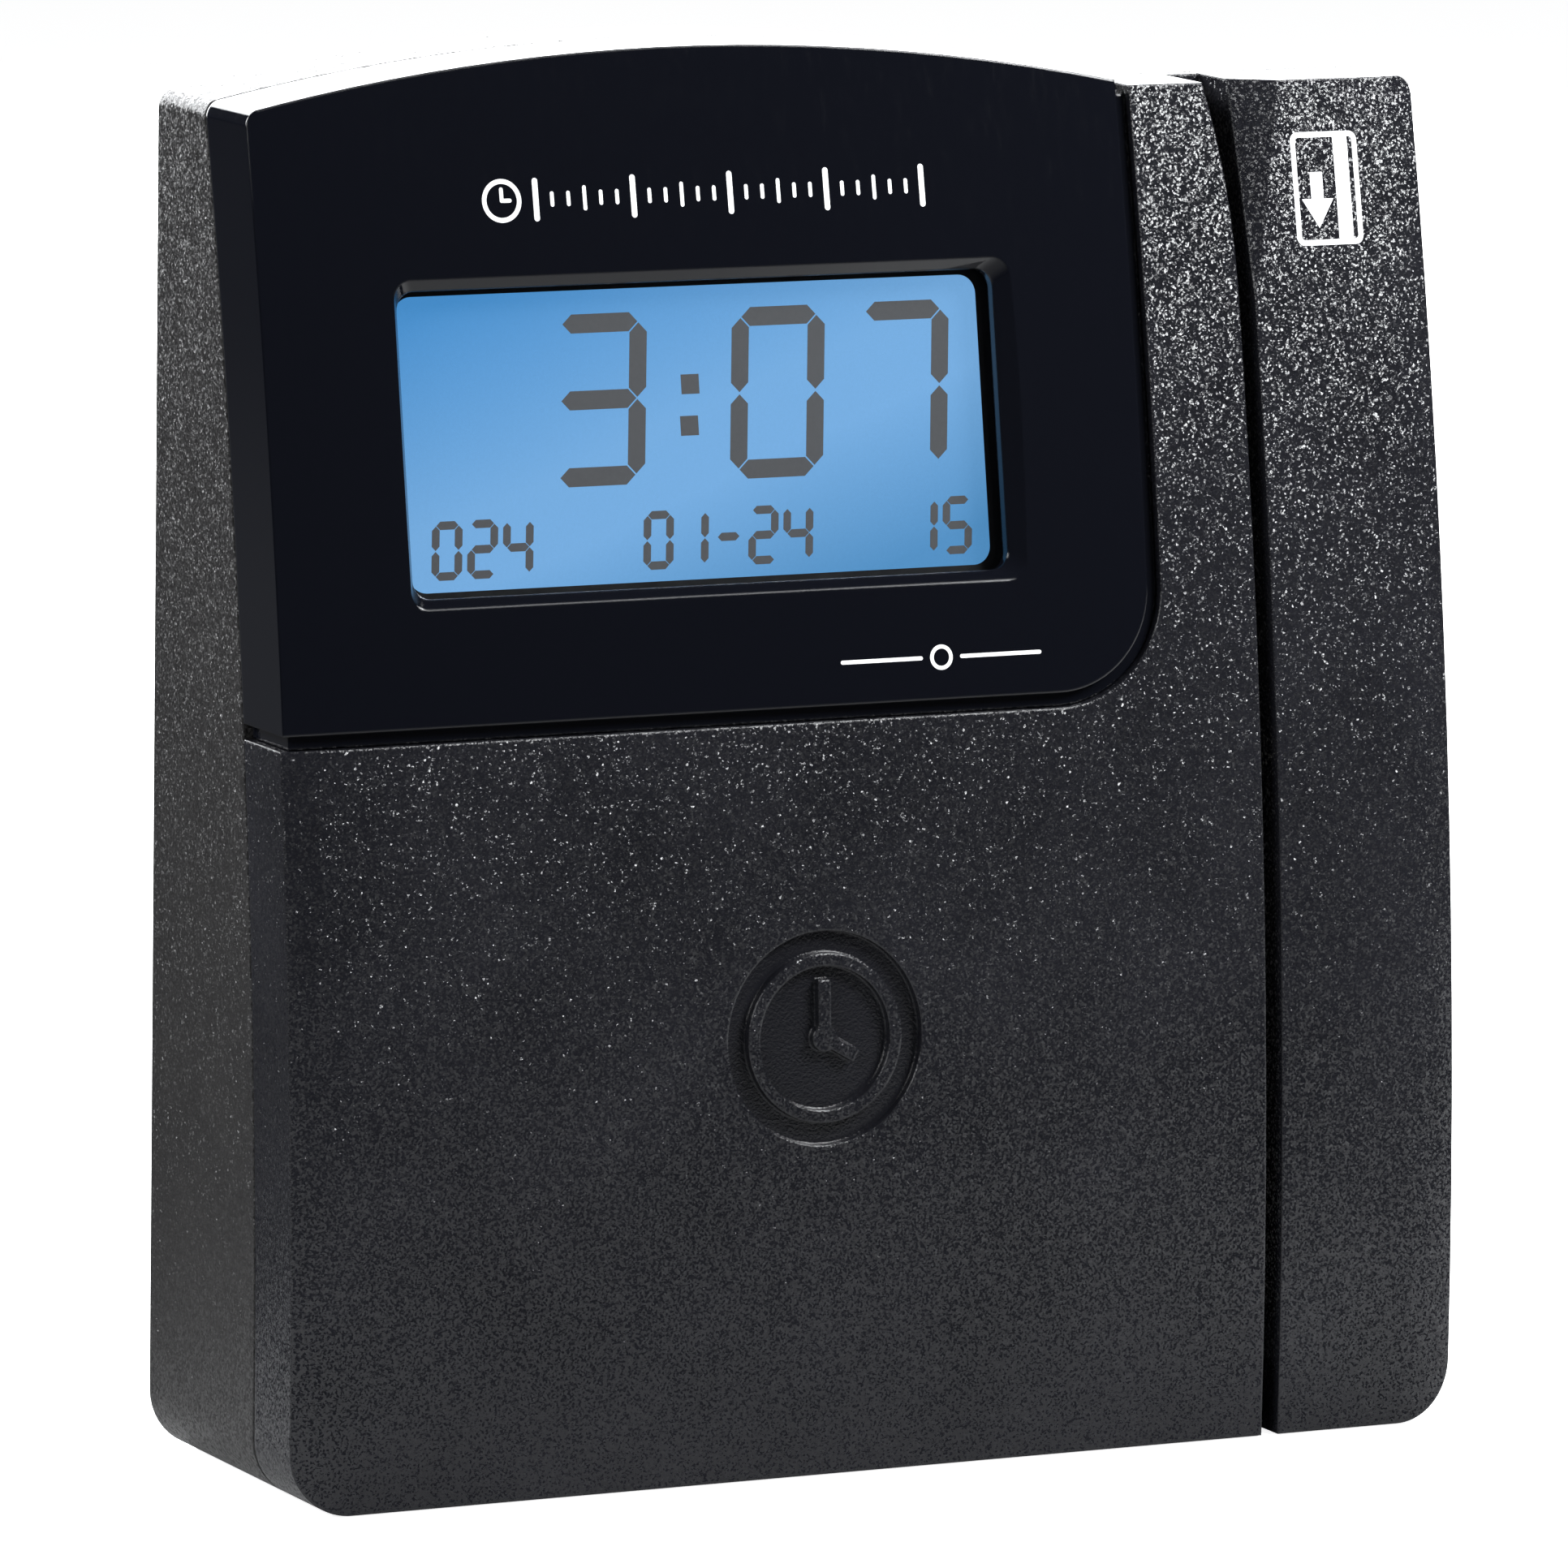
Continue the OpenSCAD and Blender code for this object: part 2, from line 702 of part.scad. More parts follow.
module lcd_frame() {
    depth = lcd_board_y - glass_y;
    tab_y = lcd_boss_y + 0.2;
    tab_r = 3.4;
    color([0.2, 0.2, 0.21]) placed() difference() {
        union() {
            on_display(glass_y - lcd_lip) translate([window_x, 0, window_up])
                plate(glass_w + 1.6, lcd_lip, glass_h + 2 * frame_w);
            on_display(glass_y - 0.1) translate([window_x, 0, window_up])
                plate(glass_w + 2 * frame_w + 2, depth + 0.1, glass_h + 2 * frame_w);
            on_lcd_screws(tab_y) {
                cylinder(r = tab_r, h = lcd_board_y - tab_y);
                translate([-tab_r, -tab_r, 0]) cube([2 * tab_r, 2 * tab_r, 2]);
            }
            on_display(tab_y) translate([window_x, 0, window_up]) for (z = [-1, 1])
                translate([0, 0, z * lcd_screw_z]) plate(2 * lcd_screw_x, 2, 2 * tab_r);
        }
        on_display(glass_y - 1) translate([window_x, 0, window_up])
            plate(window_w + 0.4, depth + 2, window_h + 0.4);
        on_display(glass_y) translate([window_x, 0, window_up])
            plate(glass_w + 0.1, depth, glass_h + 0.1);
        on_display(glass_y) translate([window_x + glass_w / 2 - 1, 0, window_up - 14])
            cube([3.5, depth, 28]);
        on_lcd_screws(tab_y - 1) cylinder(r = lcd_screw_r + 0.2, h = far);
    }
}

module display_board() {
    color([0.1, 0.35, 0.2]) placed() difference() {
        on_display(lcd_board_y) translate([window_x, 0, window_up])
            plate(2 * lcd_screw_x + 6, board_t, glass_h + 2 * frame_w);
        on_lcd_screws(lcd_board_y - 1) cylinder(r = lcd_screw_r + 0.2, h = 4);
    }
}

module display_screws() {
    color("silver") placed() on_lcd_screws(lcd_board_y + board_t) {
        cylinder(r = lcd_screw_head_r, h = lcd_screw_head_h);
        translate([0, 0, -lcd_screw_l]) cylinder(r = lcd_screw_r, h = lcd_screw_l);
    }
}

module display_driver_chip() {
    color([0.08, 0.08, 0.08]) placed() on_display(lcd_board_y + board_t)
        translate([-18, 0, 2]) plate(12, 1.4, 12);
}

// ---------- main board ----------

// local frame on the main board's front face, +Y towards the front of the case
module on_board(x, z) translate([x, board_face, z]) mirror([0, 1, 0]) children();

module main_board() {
    color([0.1, 0.35, 0.2]) placed() difference() {
        span([board_x0, board_face, board_z0], [board_x1, -board_y, board_z1]);
        for (at = board_screw_at) peg(at[0], 0, at[1], board_screw_r + 0.2, far);
    }
}

module main_board_screws() {
    color("silver") placed() for (at = board_screw_at) on_board_at(at) {
        rotate([-90, 0, 0]) cylinder(r = board_screw_head_r, h = board_screw_head_h);
        rotate([90, 0, 0]) cylinder(r = board_screw_r, h = board_screw_l);
    }
}

module on_board_at(at) on_board(at[0], at[1]) children();

// a rectangular chip on the main board: width, thickness and height
module chip(at, size) on_board_at(at) plate(size[0], size[1], size[2]);

module processor_chip() color([0.07, 0.07, 0.08]) placed() chip(processor_at, [14, 1.4, 14]);

module memory_chip() color([0.07, 0.07, 0.08]) placed() chip(memory_at, [8, 1.2, 10]);

module regulator() {
    body = [10, 4.4, 9];
    tab = [10, 1.2, 5];
    color([0.1, 0.1, 0.1]) placed() {
        chip(regulator_at, body);
        chip(regulator_at + [0, body[2] / 2 + tab[2] / 2], tab);
    }
}

module capacitors() {
    can_r = 4;
    can_h = 11;
    color([0.12, 0.12, 0.16]) placed() for (at = capacitor_at)
        on_board_at(at) rotate([-90, 0, 0]) cylinder(r = can_r, h = can_h);
}

module crystal() {
    can = [7, 3.4, 4];
    color("silver") placed() on_board_at(crystal_at) {
        plate(can[0], can[1], can[2]);
        for (side = [-1, 1]) translate([side * can[0] / 2, 0, 0]) rotate([-90, 0, 0])
            cylinder(r = can[2] / 2, h = can[1]);
    }
}

// a socket body standing on the board with its mouth at the bottom face
module socket_body(x, size) {
    translate([x - size[0] / 2, board_face - size[1], socket_z]) cube(size);
}

module power_jack() {
    centre_y = board_face - jack_size[1] / 2;
    bore_d = 9.5;
    nose_r = 3.9;
    nose_l = 4;
    pin_r = 1.05;
    color([0.08, 0.08, 0.08]) placed() difference() {
        union() {
            translate([0, 0, wall + clear]) socket_body(jack_x, jack_size);
            translate([jack_x, centre_y, socket_z]) cylinder(r = nose_r, h = nose_l);
        }
        translate([jack_x, centre_y, socket_z - 1]) difference() {
            cylinder(r = jack_bore_r, h = bore_d + 1);
            cylinder(r = pin_r, h = bore_d + 2);
        }
    }
}

module usb_socket() {
    mouth = [8.5, 7.8];
    tongue = [5.6, 3.2];
    depth = 9;
    centre_y = board_face - usb_size[1] / 2;
    color("silver") placed() difference() {
        socket_body(usb_x, usb_size);
        translate([usb_x, centre_y, socket_z - 1]) difference() {
            translate([-mouth[0] / 2, -mouth[1] / 2, 0]) cube([mouth[0], mouth[1], depth + 1]);
            translate([-tongue[0] / 2, -tongue[1] / 2, 1.5]) cube([tongue[0], tongue[1], depth]);
        }
    }
}

module network_socket() {
    mouth = [11.8, 8.3];
    latch = [6.2, 2.4];
    depth = 14;
    low_y = board_face - lan_size[1] + 1.6;
    color("silver") placed() difference() {
        socket_body(lan_x, lan_size);
        translate([lan_x - mouth[0] / 2, low_y, socket_z - 1]) cube([mouth[0], mouth[1], depth + 1]);
        translate([lan_x - latch[0] / 2, low_y + mouth[1] - 1, socket_z - 1])
            cube([latch[0], latch[1] + 1, depth / 2 + 1]);
    }
}

module reset_switch() {
    color([0.75, 0.75, 0.78]) placed() difference() {
        translate([0, 0, reset_z]) socket_body(reset_x, reset_size);
        translate([reset_x, board_face - reset_size[1] / 2, 0]) 
            cylinder(r = reset_r + 0.2, h = reset_bore_z);
    }
}

module reset_plunger() {
    start_z = wall + 1;
    end_z = reset_bore_z - reset_slack - reset_travel;
    color([0.1, 0.1, 0.1]) placed() translate([reset_x, board_face - reset_size[1] / 2, start_z])
        cylinder(r = reset_r, h = end_z - start_z);
}

module sounder() {
    hole_r = 1.2;
    hole_d = 1.5;
    color([0.05, 0.05, 0.05]) placed() on_board_at(sounder_at) rotate([-90, 0, 0])
        difference() {
            cylinder(r = sounder_r, h = sounder_h);
            translate([0, 0, sounder_h - hole_d]) cylinder(r = hole_r, h = hole_d + over);
        }
}

module cell_holder() {
    height = 4.6;
    rim_t = 1.8;
    play = 0.15;
    floor_t = 1;
    notch_w = 8;
    color([0.12, 0.12, 0.12]) placed() on_board_at(cell_at) rotate([-90, 0, 0])
        difference() {
            cylinder(r = cell_r + rim_t, h = height);
            translate([0, 0, floor_t]) cylinder(r = cell_r + play, h = height);
            translate([-notch_w / 2, -cell_r - notch_w / 2, floor_t]) cube([notch_w, notch_w, height]);
        }
}

module coin_cell() {
    color("silver") placed() on_board_at(cell_at) translate([0, 1, 0])
        rotate([-90, 0, 0]) cylinder(r = cell_r, h = cell_h);
}

// ---------- ribbon between the boards ----------

module ribbon_sockets() {
    color([0.85, 0.82, 0.7]) placed() {
        on_board(ribbon_x, ribbon_z) plate(ribbon_socket[0], ribbon_socket[1], ribbon_socket[2]);
        on_display(lcd_board_y + board_t) translate([ribbon_x - lcd_x, 0, ribbon_drop])
            plate(ribbon_socket[0], ribbon_socket[1], ribbon_socket[2]);
    }
}

// a point of the ribbon's S-curve, which leaves both sockets upright
function ribbon_point(low, high, t) =
    [low[0] + (high[0] - low[0]) * (3 * t * t - 2 * t * t * t), low[1] + (high[1] - low[1]) * t];

// flat ribbon: up from the main board's socket, then forward to the display's socket
module display_ribbon() {
    steps = 12;
    lean = face_lean(lcd_z);
    deep = lcd_board_y + board_t + ribbon_socket[1] / 2;
    drop = ribbon_drop - ribbon_socket[2] / 2 - ribbon_t / 2 * tan(lean) - EPS;
    low = [board_face - ribbon_socket[1] / 2, ribbon_z + ribbon_socket[2] / 2];
    high = [face_y(lcd_z) + deep * cos(lean) + drop * sin(lean),
        lcd_z - deep * sin(lean) + drop * cos(lean)];
    half_t = [ribbon_t / 2, 0];
    color([0.88, 0.88, 0.84]) placed() translate([ribbon_x - ribbon_w / 2, 0, 0])
        rotate([90, 0, 90]) linear_extrude(ribbon_w) polygon(concat(
            [for (i = [0:steps]) ribbon_point(low, high, i / steps) - half_t],
            [for (i = [steps:-1:0]) ribbon_point(low, high, i / steps) + half_t]));
}

// ---------- card reader ----------

module read_head() {
    reach = head_size / 2;
    middle = [head_x + reach[0], head_y, head_z];
    color([0.7, 0.68, 0.62]) placed() {
        intersection() {
            span(middle - reach, middle + reach);
            translate([head_x + head_nose_r, head_y + head_size[1], head_z]) rotate([90, 0, 0])
                cylinder(r = head_nose_r, h = 2 * head_size[1]);
        }
        translate([spring_x - EPS, head_y, head_z]) rotate([0, 90, 0])
            cylinder(r = terminal_r, h = terminal_l + EPS);
    }
}

module head_spring() {
    color("silver") placed() difference() {
        span([spring_x, head_y - spring_w / 2, head_z - spring_l / 2],
            [spring_x + spring_t, head_y + spring_w / 2, head_z + spring_l / 2]);
        on_spring_screws(spring_x - 1) cylinder(r = spring_screw_r + 0.2, h = 3);
        translate([spring_x - 1, head_y, head_z]) rotate([0, 90, 0])
            cylinder(r = terminal_r + 0.2, h = 3);
    }
}

module head_spring_screws() {
    color("silver") placed() on_spring_screws(spring_x + spring_t) {
        cylinder(r = 2, h = 1.3);
        translate([0, 0, -3.5]) cylinder(r = spring_screw_r, h = 3.5);
    }
}

module slot_wear_strip() {
    color("silver") placed() span([slot_x + 0.1, -slot_floor - rail_t, 2],
        [slot_x + slot_w - 0.1, -slot_floor, case_h - 2]);
}

module head_connector() {
    color([0.9, 0.9, 0.86]) placed() on_board_at(head_plug_at)
        plate(head_plug[0], head_plug[1], head_plug[2]);
}

function unit(v) = v / norm(v);

// direction of a route at its point i
function route_way(route, i) = unit(route[min(i + 1, len(route) - 1)] - route[max(i - 1, 0)]);

// ring of points round a route's point i
function route_ring(route, i, r, sides) =
    let (way = route_way(route, i), across = unit(cross(way, [0, 0, 1])), up = cross(across, way))
    [for (j = [0:sides - 1]) route[i] + r * (cos(360 * j / sides) * across + sin(360 * j / sides) * up)];

// round tube along a route, one ring at each of its points
module tube(route, r, sides) {
    last = len(route) - 1;
    polyhedron(
        points = [for (i = [0:last]) each route_ring(route, i, r, sides)],
        faces = concat(
            [[for (j = [0:sides - 1]) j]],
            [for (i = [0:last - 1], j = [0:sides - 1])
                let (a = i * sides, b = a + sides, k = (j + 1) % sides)
                each [[a + k, a + j, b + j], [a + k, b + j, b + k]]],
            [[for (j = [sides - 1:-1:0]) last * sides + j]]));
}

module head_cable() {
    color([0.2, 0.2, 0.22]) placed() tube(lead_route, lead_r, lead_sides);
}

// ---------- wall bracket ----------

module wall_bracket() {
    color([0.6, 0.6, 0.62]) difference() {
        union() {
            slab(0, -bracket_t) centred_rect(bracket_w, bracket_h, 4);
            for (at = hook_at) {
                low = [at[0] - hook_w / 2, tongue_front_y, at[1] - bracket_t];
                span(low, [at[0] + hook_w / 2, -bracket_t + EPS, at[1]]);
                span(low, [at[0] + hook_w / 2, tongue_y, at[1] + hook_h]);
            }
        }
        for (x = [-1, 1], z = [-1, 1]) peg(x * screw_span_x / 2, 1, z * screw_span_z / 2, screw_hole_r, 4);
    }
}

rear_case();
front_cover();
display_bezel();
bezel_push_nuts();
window_tape();
display_window();
lcd_glass();
light_guide();
backlight_leds();
lcd_frame();
contact_strips();
display_board();
display_screws();
display_driver_chip();
main_board();
main_board_screws();
processor_chip();
memory_chip();
regulator();
capacitors();
crystal();
power_jack();
usb_socket();
network_socket();
reset_switch();
reset_plunger();
sounder();
coin_cell();
cell_holder();
ribbon_sockets();
display_ribbon();
head_connector();
head_cable();
read_head();
head_spring();
head_spring_screws();
slot_wear_strip();
case_screws();
wall_bracket();
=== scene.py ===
"""Looks of a wall time clock that reads swiped cards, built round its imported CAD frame.

Every length is in metres, in the part's own frame: +Z is up and the front faces -Y.
"""
import math

import bmesh
import bpy
from mathutils import Matrix, Vector
from mathutils.bvhtree import BVHTree


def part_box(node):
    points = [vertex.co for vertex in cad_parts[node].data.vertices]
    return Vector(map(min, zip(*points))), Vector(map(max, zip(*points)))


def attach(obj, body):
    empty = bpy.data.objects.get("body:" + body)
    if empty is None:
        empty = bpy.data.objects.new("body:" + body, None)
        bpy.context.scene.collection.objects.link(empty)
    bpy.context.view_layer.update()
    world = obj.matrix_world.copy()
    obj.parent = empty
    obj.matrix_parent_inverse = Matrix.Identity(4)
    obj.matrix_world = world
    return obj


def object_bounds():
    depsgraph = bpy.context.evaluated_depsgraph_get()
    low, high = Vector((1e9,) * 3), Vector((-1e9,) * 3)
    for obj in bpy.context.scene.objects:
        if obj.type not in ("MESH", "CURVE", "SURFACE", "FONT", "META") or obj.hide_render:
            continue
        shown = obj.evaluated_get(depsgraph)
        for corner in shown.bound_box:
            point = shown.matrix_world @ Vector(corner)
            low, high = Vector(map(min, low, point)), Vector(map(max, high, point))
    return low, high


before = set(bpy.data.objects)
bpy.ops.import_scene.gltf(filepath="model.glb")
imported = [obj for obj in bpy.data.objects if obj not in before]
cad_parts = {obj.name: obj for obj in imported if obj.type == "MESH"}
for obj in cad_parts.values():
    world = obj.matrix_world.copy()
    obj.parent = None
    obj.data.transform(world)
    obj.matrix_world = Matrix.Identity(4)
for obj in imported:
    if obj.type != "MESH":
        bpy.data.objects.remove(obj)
cad_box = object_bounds()

MM = 0.001
BODY = "clock"

# Camera, on the line of sight of the picture that the part follows: angles in degrees, lens in mm
CAMERA_TARGET = (0.0130, 0.0131, -0.0209)
CAMERA_DISTANCE = 1.6
CAMERA_AZIMUTH = -26.084
CAMERA_ELEVATION = 8.938
CAMERA_ROLL = 0.856
CAMERA_LENS = 279.5
CAMERA_FAR = 50

# Curve of the front face: its radius, and the Y and Z of its axis
FACE_R = 725 * MM
FACE_AXIS = (cad_box[0].y + FACE_R, cad_box[0].z + 12 * MM)

# Sunk badge on the front: the X and Z of its centre, and its radius
BADGE_AT = (-8.8 * MM, -43.8 * MM)
BADGE_R = 13.7 * MM

# Display's figures, measured from the middle of its glass. The time's and the date's figures are
# listed with the X of their right-hand edges; their Z is that of their middles.
DIGIT_SLANT = math.radians(4.5)
DIGIT_HEIGHT = 21.7 * MM
DIGIT_WIDTH = 13.1 * MM
DIGIT_STROKE = 2.4 * MM
TIME_Z = 4.85 * MM
TIME_FIGURES = (("3", -6.2 * MM), ("0", 18.8 * MM), ("7", 36.4 * MM))
COLON_X = -0.15 * MM
COLON_Z = (1.05 * MM, 6.3 * MM)
COLON_DOT = 2.5 * MM
SMALL_HEIGHT = 7.4 * MM
SMALL_WIDTH = 4.2 * MM
SMALL_STROKE = 1.05 * MM
SMALL_PITCH = 4.9 * MM
DATE_Z = -13.2 * MM
DATE_FIGURES = (("024", -23.0 * MM), ("01-24", 16.1 * MM), ("15", 38.7 * MM))

# Window, and the opening in its border from the middle of the pane: left, bottom, right and top
PANE_T = 1.5 * MM
PANE_MIRROR = 0.04             # share of light that clear acrylic mirrors, seen square on
BORDER_OPENING = (-40.6 * MM, -18.4 * MM, 40.8 * MM, 18.7 * MM)
BORDER_OPENING_R = 2.4 * MM

# Printed marks
INK_T = 0.05 * MM              # thickness of printed marks and of the display's segments
INK_SUNK = 0.02 * MM           # how far a printed mark reaches into the surface under it

# Hour scale: how many ticks, which of them are longer, and how far each kind reaches up and down
TICKS = 24
LONG_EVERY = 6
MIDDLE_EVERY = 3
LONG_TICK = 2.3 * MM
MIDDLE_TICK = 1.3 * MM
SHORT_TICK = 0.7 * MM

# Floor: it glows for the camera. In the part's reflections it is no paler than FLOOR_DIM, with a painted
# pool of light just in front of the part and painted shade behind it; each stop is (share of the way
# along Y from FLOOR_FRONT to FLOOR_BACK, share of FLOOR_DIM).
FLOOR_SIDE = 20.0
FLOOR_GAP = 0.2 * MM           # how far the floor lies under the part
FLOOR_GLOW = 0.9
FLOOR_DIM = 0.5
FLOOR_FRONT = -0.6
FLOOR_BACK = 0.1
FLOOR_PAINTED_LIGHT_STOPS = ((0.0, 0.15), (0.55, 0.35), (0.75, 1.0), (1.0, 0.06))

# Surroundings
WORLD_TINT = (0.95, 0.98, 1.06)
WORLD_STRENGTH = 0.03

# Soft lights: name, direction from the part, distance, width and height, power in watts. The overhead
# one catches the upper edges, the key the upper right of the front, the one behind the top faces, and
# the two on the left the left side.
LIGHT_TINT = (0.97, 0.985, 1.0)
LIGHTS = (
    ("overhead", (0.44, -0.40, 0.80), 1.4, (0.8, 0.35), 7),
    ("key", (0.55, -0.55, 0.60), 0.5, (0.18, 0.16), 3.2),
    ("behind", (0.434, 0.85, 0.40), 1.6, (2.2, 1.7), 83),
    ("left_rim", (-0.6, 0.6, 0.5), 1.0, (0.5, 0.4), 13),
    ("left_front", (-0.85, -0.35, 0.45), 1.1, (0.7, 0.4), 8),
)


# ---------- node trees ----------

class Shader:
    """One material and the few node calls that the materials below share."""

    def __init__(self, name):
        self.material = bpy.data.materials.new(name)
        self.material.use_nodes = True
        self.tree = self.material.node_tree
        self.principled = self.tree.nodes["Principled BSDF"]
        self.coords = self.node("ShaderNodeTexCoord").outputs["Object"]

    def node(self, kind, **settings):
        made = self.tree.nodes.new(kind)
        for key, value in settings.items():
            setattr(made, key, value)
        return made

    def link(self, source, target):
        self.tree.links.new(source, target)

    def set(self, **values):
        """Sets constants on the shader; underscores stand for the spaces in a socket's name."""
        for key, value in values.items():
            self.principled.inputs[key.replace("_", " ")].default_value = value

    def drive(self, socket, source):
        self.link(source, self.principled.inputs[socket])

    def stretched(self, scale):
        """Object coordinates stretched by a factor along each axis."""
        mapping = self.node("ShaderNodeMapping")
        mapping.inputs["Scale"].default_value = scale
        self.link(self.coords, mapping.inputs["Vector"])
        return mapping.outputs["Vector"]

    def noise(self, scale, detail=2.0, roughness=0.5, vector=None):
        made = self.node("ShaderNodeTexNoise")
        made.inputs["Scale"].default_value = scale
        made.inputs["Detail"].default_value = detail
        made.inputs["Roughness"].default_value = roughness
        self.link(vector or self.coords, made.inputs["Vector"])
        return made.outputs["Fac"]

    def cells(self, scale, output="Distance"):
        made = self.node("ShaderNodeTexVoronoi")
        made.inputs["Scale"].default_value = scale
        self.link(self.coords, made.inputs["Vector"])
        return made.outputs[output]

    def bands(self, direction, scale):
        """Straight bands across X, Y or Z; the scale counts bands per metre."""
        radians_per_unit = 20  # the wave texture's phase over its scale and position
        made = self.node("ShaderNodeTexWave", wave_type="BANDS", bands_direction=direction)
        made.inputs["Scale"].default_value = scale * 2 * math.pi / radians_per_unit
        self.link(self.coords, made.inputs["Vector"])
        return made.outputs["Fac"]

    def ramp(self, source, *stops):
        """Colours or greys between positions: each stop is (position, value)."""
        made = self.node("ShaderNodeValToRGB")
        points = made.color_ramp.elements
        while len(points) < len(stops):
            points.new(0.5)
        for point, (position, value) in zip(points, stops):
            point.position = position
            point.color = (*value, 1) if isinstance(value, tuple) else (value, value, value, 1)
        self.link(source, made.inputs["Fac"])
        return made.outputs["Color"]

    def between(self, source, low, high):
        """A number from low to high as the source goes from 0 to 1."""
        made = self.node("ShaderNodeMapRange")
        made.inputs["To Min"].default_value = low
        made.inputs["To Max"].default_value = high
        self.link(source, made.inputs["Value"])
        return made.outputs["Result"]

    def math(self, operation, first, second):
        made = self.node("ShaderNodeMath", operation=operation)
        for socket, value in zip(made.inputs, (first, second)):
            if isinstance(value, (int, float)):
                socket.default_value = value
            else:
                self.link(value, socket)
        return made.outputs["Value"]

    def mix(self, factor, first, second):
        """Blends two colours or colour outputs."""
        made = self.node("ShaderNodeMix", data_type="RGBA")
        # The node has a set of sockets for each data type; these are its factor, and A and B in colour
        sockets = [made.inputs[0], made.inputs[6], made.inputs[7]]
        for socket, value in zip(sockets, (factor, first, second)):
            if isinstance(value, tuple):
                socket.default_value = (*value, 1)
            elif isinstance(value, (int, float)):
                socket.default_value = value
            else:
                self.link(value, socket)
        return made.outputs[2]

    def along(self, axis, low, high):
        """0 to 1 as X, Y or Z goes from low to high."""
        split = self.node("ShaderNodeSeparateXYZ")
        self.link(self.coords, split.inputs["Vector"])
        made = self.node("ShaderNodeMapRange")
        made.inputs["From Min"].default_value = low
        made.inputs["From Max"].default_value = high
        self.link(split.outputs[axis], made.inputs["Value"])
        return made.outputs["Result"]

    def upright(self):
        """Coordinates whose first two axes are X and Z, for patterns that are drawn in two dimensions."""
        split = self.node("ShaderNodeSeparateXYZ")
        self.link(self.coords, split.inputs["Vector"])
        joined = self.node("ShaderNodeCombineXYZ")
        self.link(split.outputs["X"], joined.inputs["X"])
        self.link(split.outputs["Z"], joined.inputs["Y"])
        return joined.outputs["Vector"]

    def facing(self, name):
        """One component of the surface's own direction, to tell a part's top from its sides."""
        split = self.node("ShaderNodeSeparateXYZ")
        self.link(self.node("ShaderNodeNewGeometry").outputs["Normal"], split.inputs["Vector"])
        return split.outputs[name]

    def rounded(self, radius):
        """Normal that rounds every edge by a radius."""
        made = self.node("ShaderNodeBevel", samples=6)
        made.inputs["Radius"].default_value = radius
        return made.outputs["Normal"]

    def edges(self, radius):
        """1 along the edges and 0 on open surface, from how far rounding turns the normal."""
        edge_cosine = 0.75
        open_cosine = 0.995
        turned = self.node("ShaderNodeVectorMath", operation="DOT_PRODUCT")
        self.link(self.rounded(radius), turned.inputs[0])
        self.link(self.node("ShaderNodeNewGeometry").outputs["Normal"], turned.inputs[1])
        return self.ramp(turned.outputs["Value"], (edge_cosine, 1.0), (open_cosine, 0.0))

    def facets(self, scale, tilt, normal):
        """Normal that leans a random way in each small cell, which makes a grain sparkle.

        The lean is tilt x (the cell's colour - 0.5) along each axis.
        """
        lean = self.node("ShaderNodeVectorMath", operation="MULTIPLY_ADD")
        self.link(self.cells(scale, "Color"), lean.inputs[0])
        self.link(tilt, lean.inputs[1])
        centred = self.node("ShaderNodeVectorMath", operation="MULTIPLY_ADD")
        self.link(tilt, centred.inputs[0])
        centred.inputs[1].default_value = (-0.5, -0.5, -0.5)
        self.link(normal, centred.inputs[2])
        self.link(centred.outputs["Vector"], lean.inputs[2])
        unit = self.node("ShaderNodeVectorMath", operation="NORMALIZE")
        self.link(lean.outputs["Vector"], unit.inputs[0])
        return unit.outputs["Vector"]

    def near(self, centre, radius):
        """1 inside a round post along Y and 0 outside it."""
        across = self.node("ShaderNodeVectorMath", operation="MULTIPLY_ADD")
        self.link(self.coords, across.inputs[0])
        across.inputs[1].default_value = (1, 0, 1)
        across.inputs[2].default_value = (-centre[0], 0, -centre[1])
        length = self.node("ShaderNodeVectorMath", operation="LENGTH")
        self.link(across.outputs["Vector"], length.inputs[0])
        return self.math("LESS_THAN", length.outputs["Value"], radius)

    def sunk(self, depth):
        """1 where the surface lies deeper than a depth behind the curved front, 0 on it."""
        across = self.node("ShaderNodeVectorMath", operation="MULTIPLY_ADD")
        self.link(self.coords, across.inputs[0])
        across.inputs[1].default_value = (0, 1, 1)
        across.inputs[2].default_value = (0, -FACE_AXIS[0], -FACE_AXIS[1])
        length = self.node("ShaderNodeVectorMath", operation="LENGTH")
        self.link(across.outputs["Vector"], length.inputs[0])
        return self.math("LESS_THAN", length.outputs["Value"], FACE_R - depth)

    def bump(self, height, distance, strength=1.0, normal=None):
        made = self.node("ShaderNodeBump")
        made.inputs["Strength"].default_value = strength
        made.inputs["Distance"].default_value = distance
        self.link(height, made.inputs["Height"])
        if normal:
            self.link(normal, made.inputs["Normal"])
        self.drive("Normal", made.outputs["Normal"])


# ---------- materials of the housing ----------

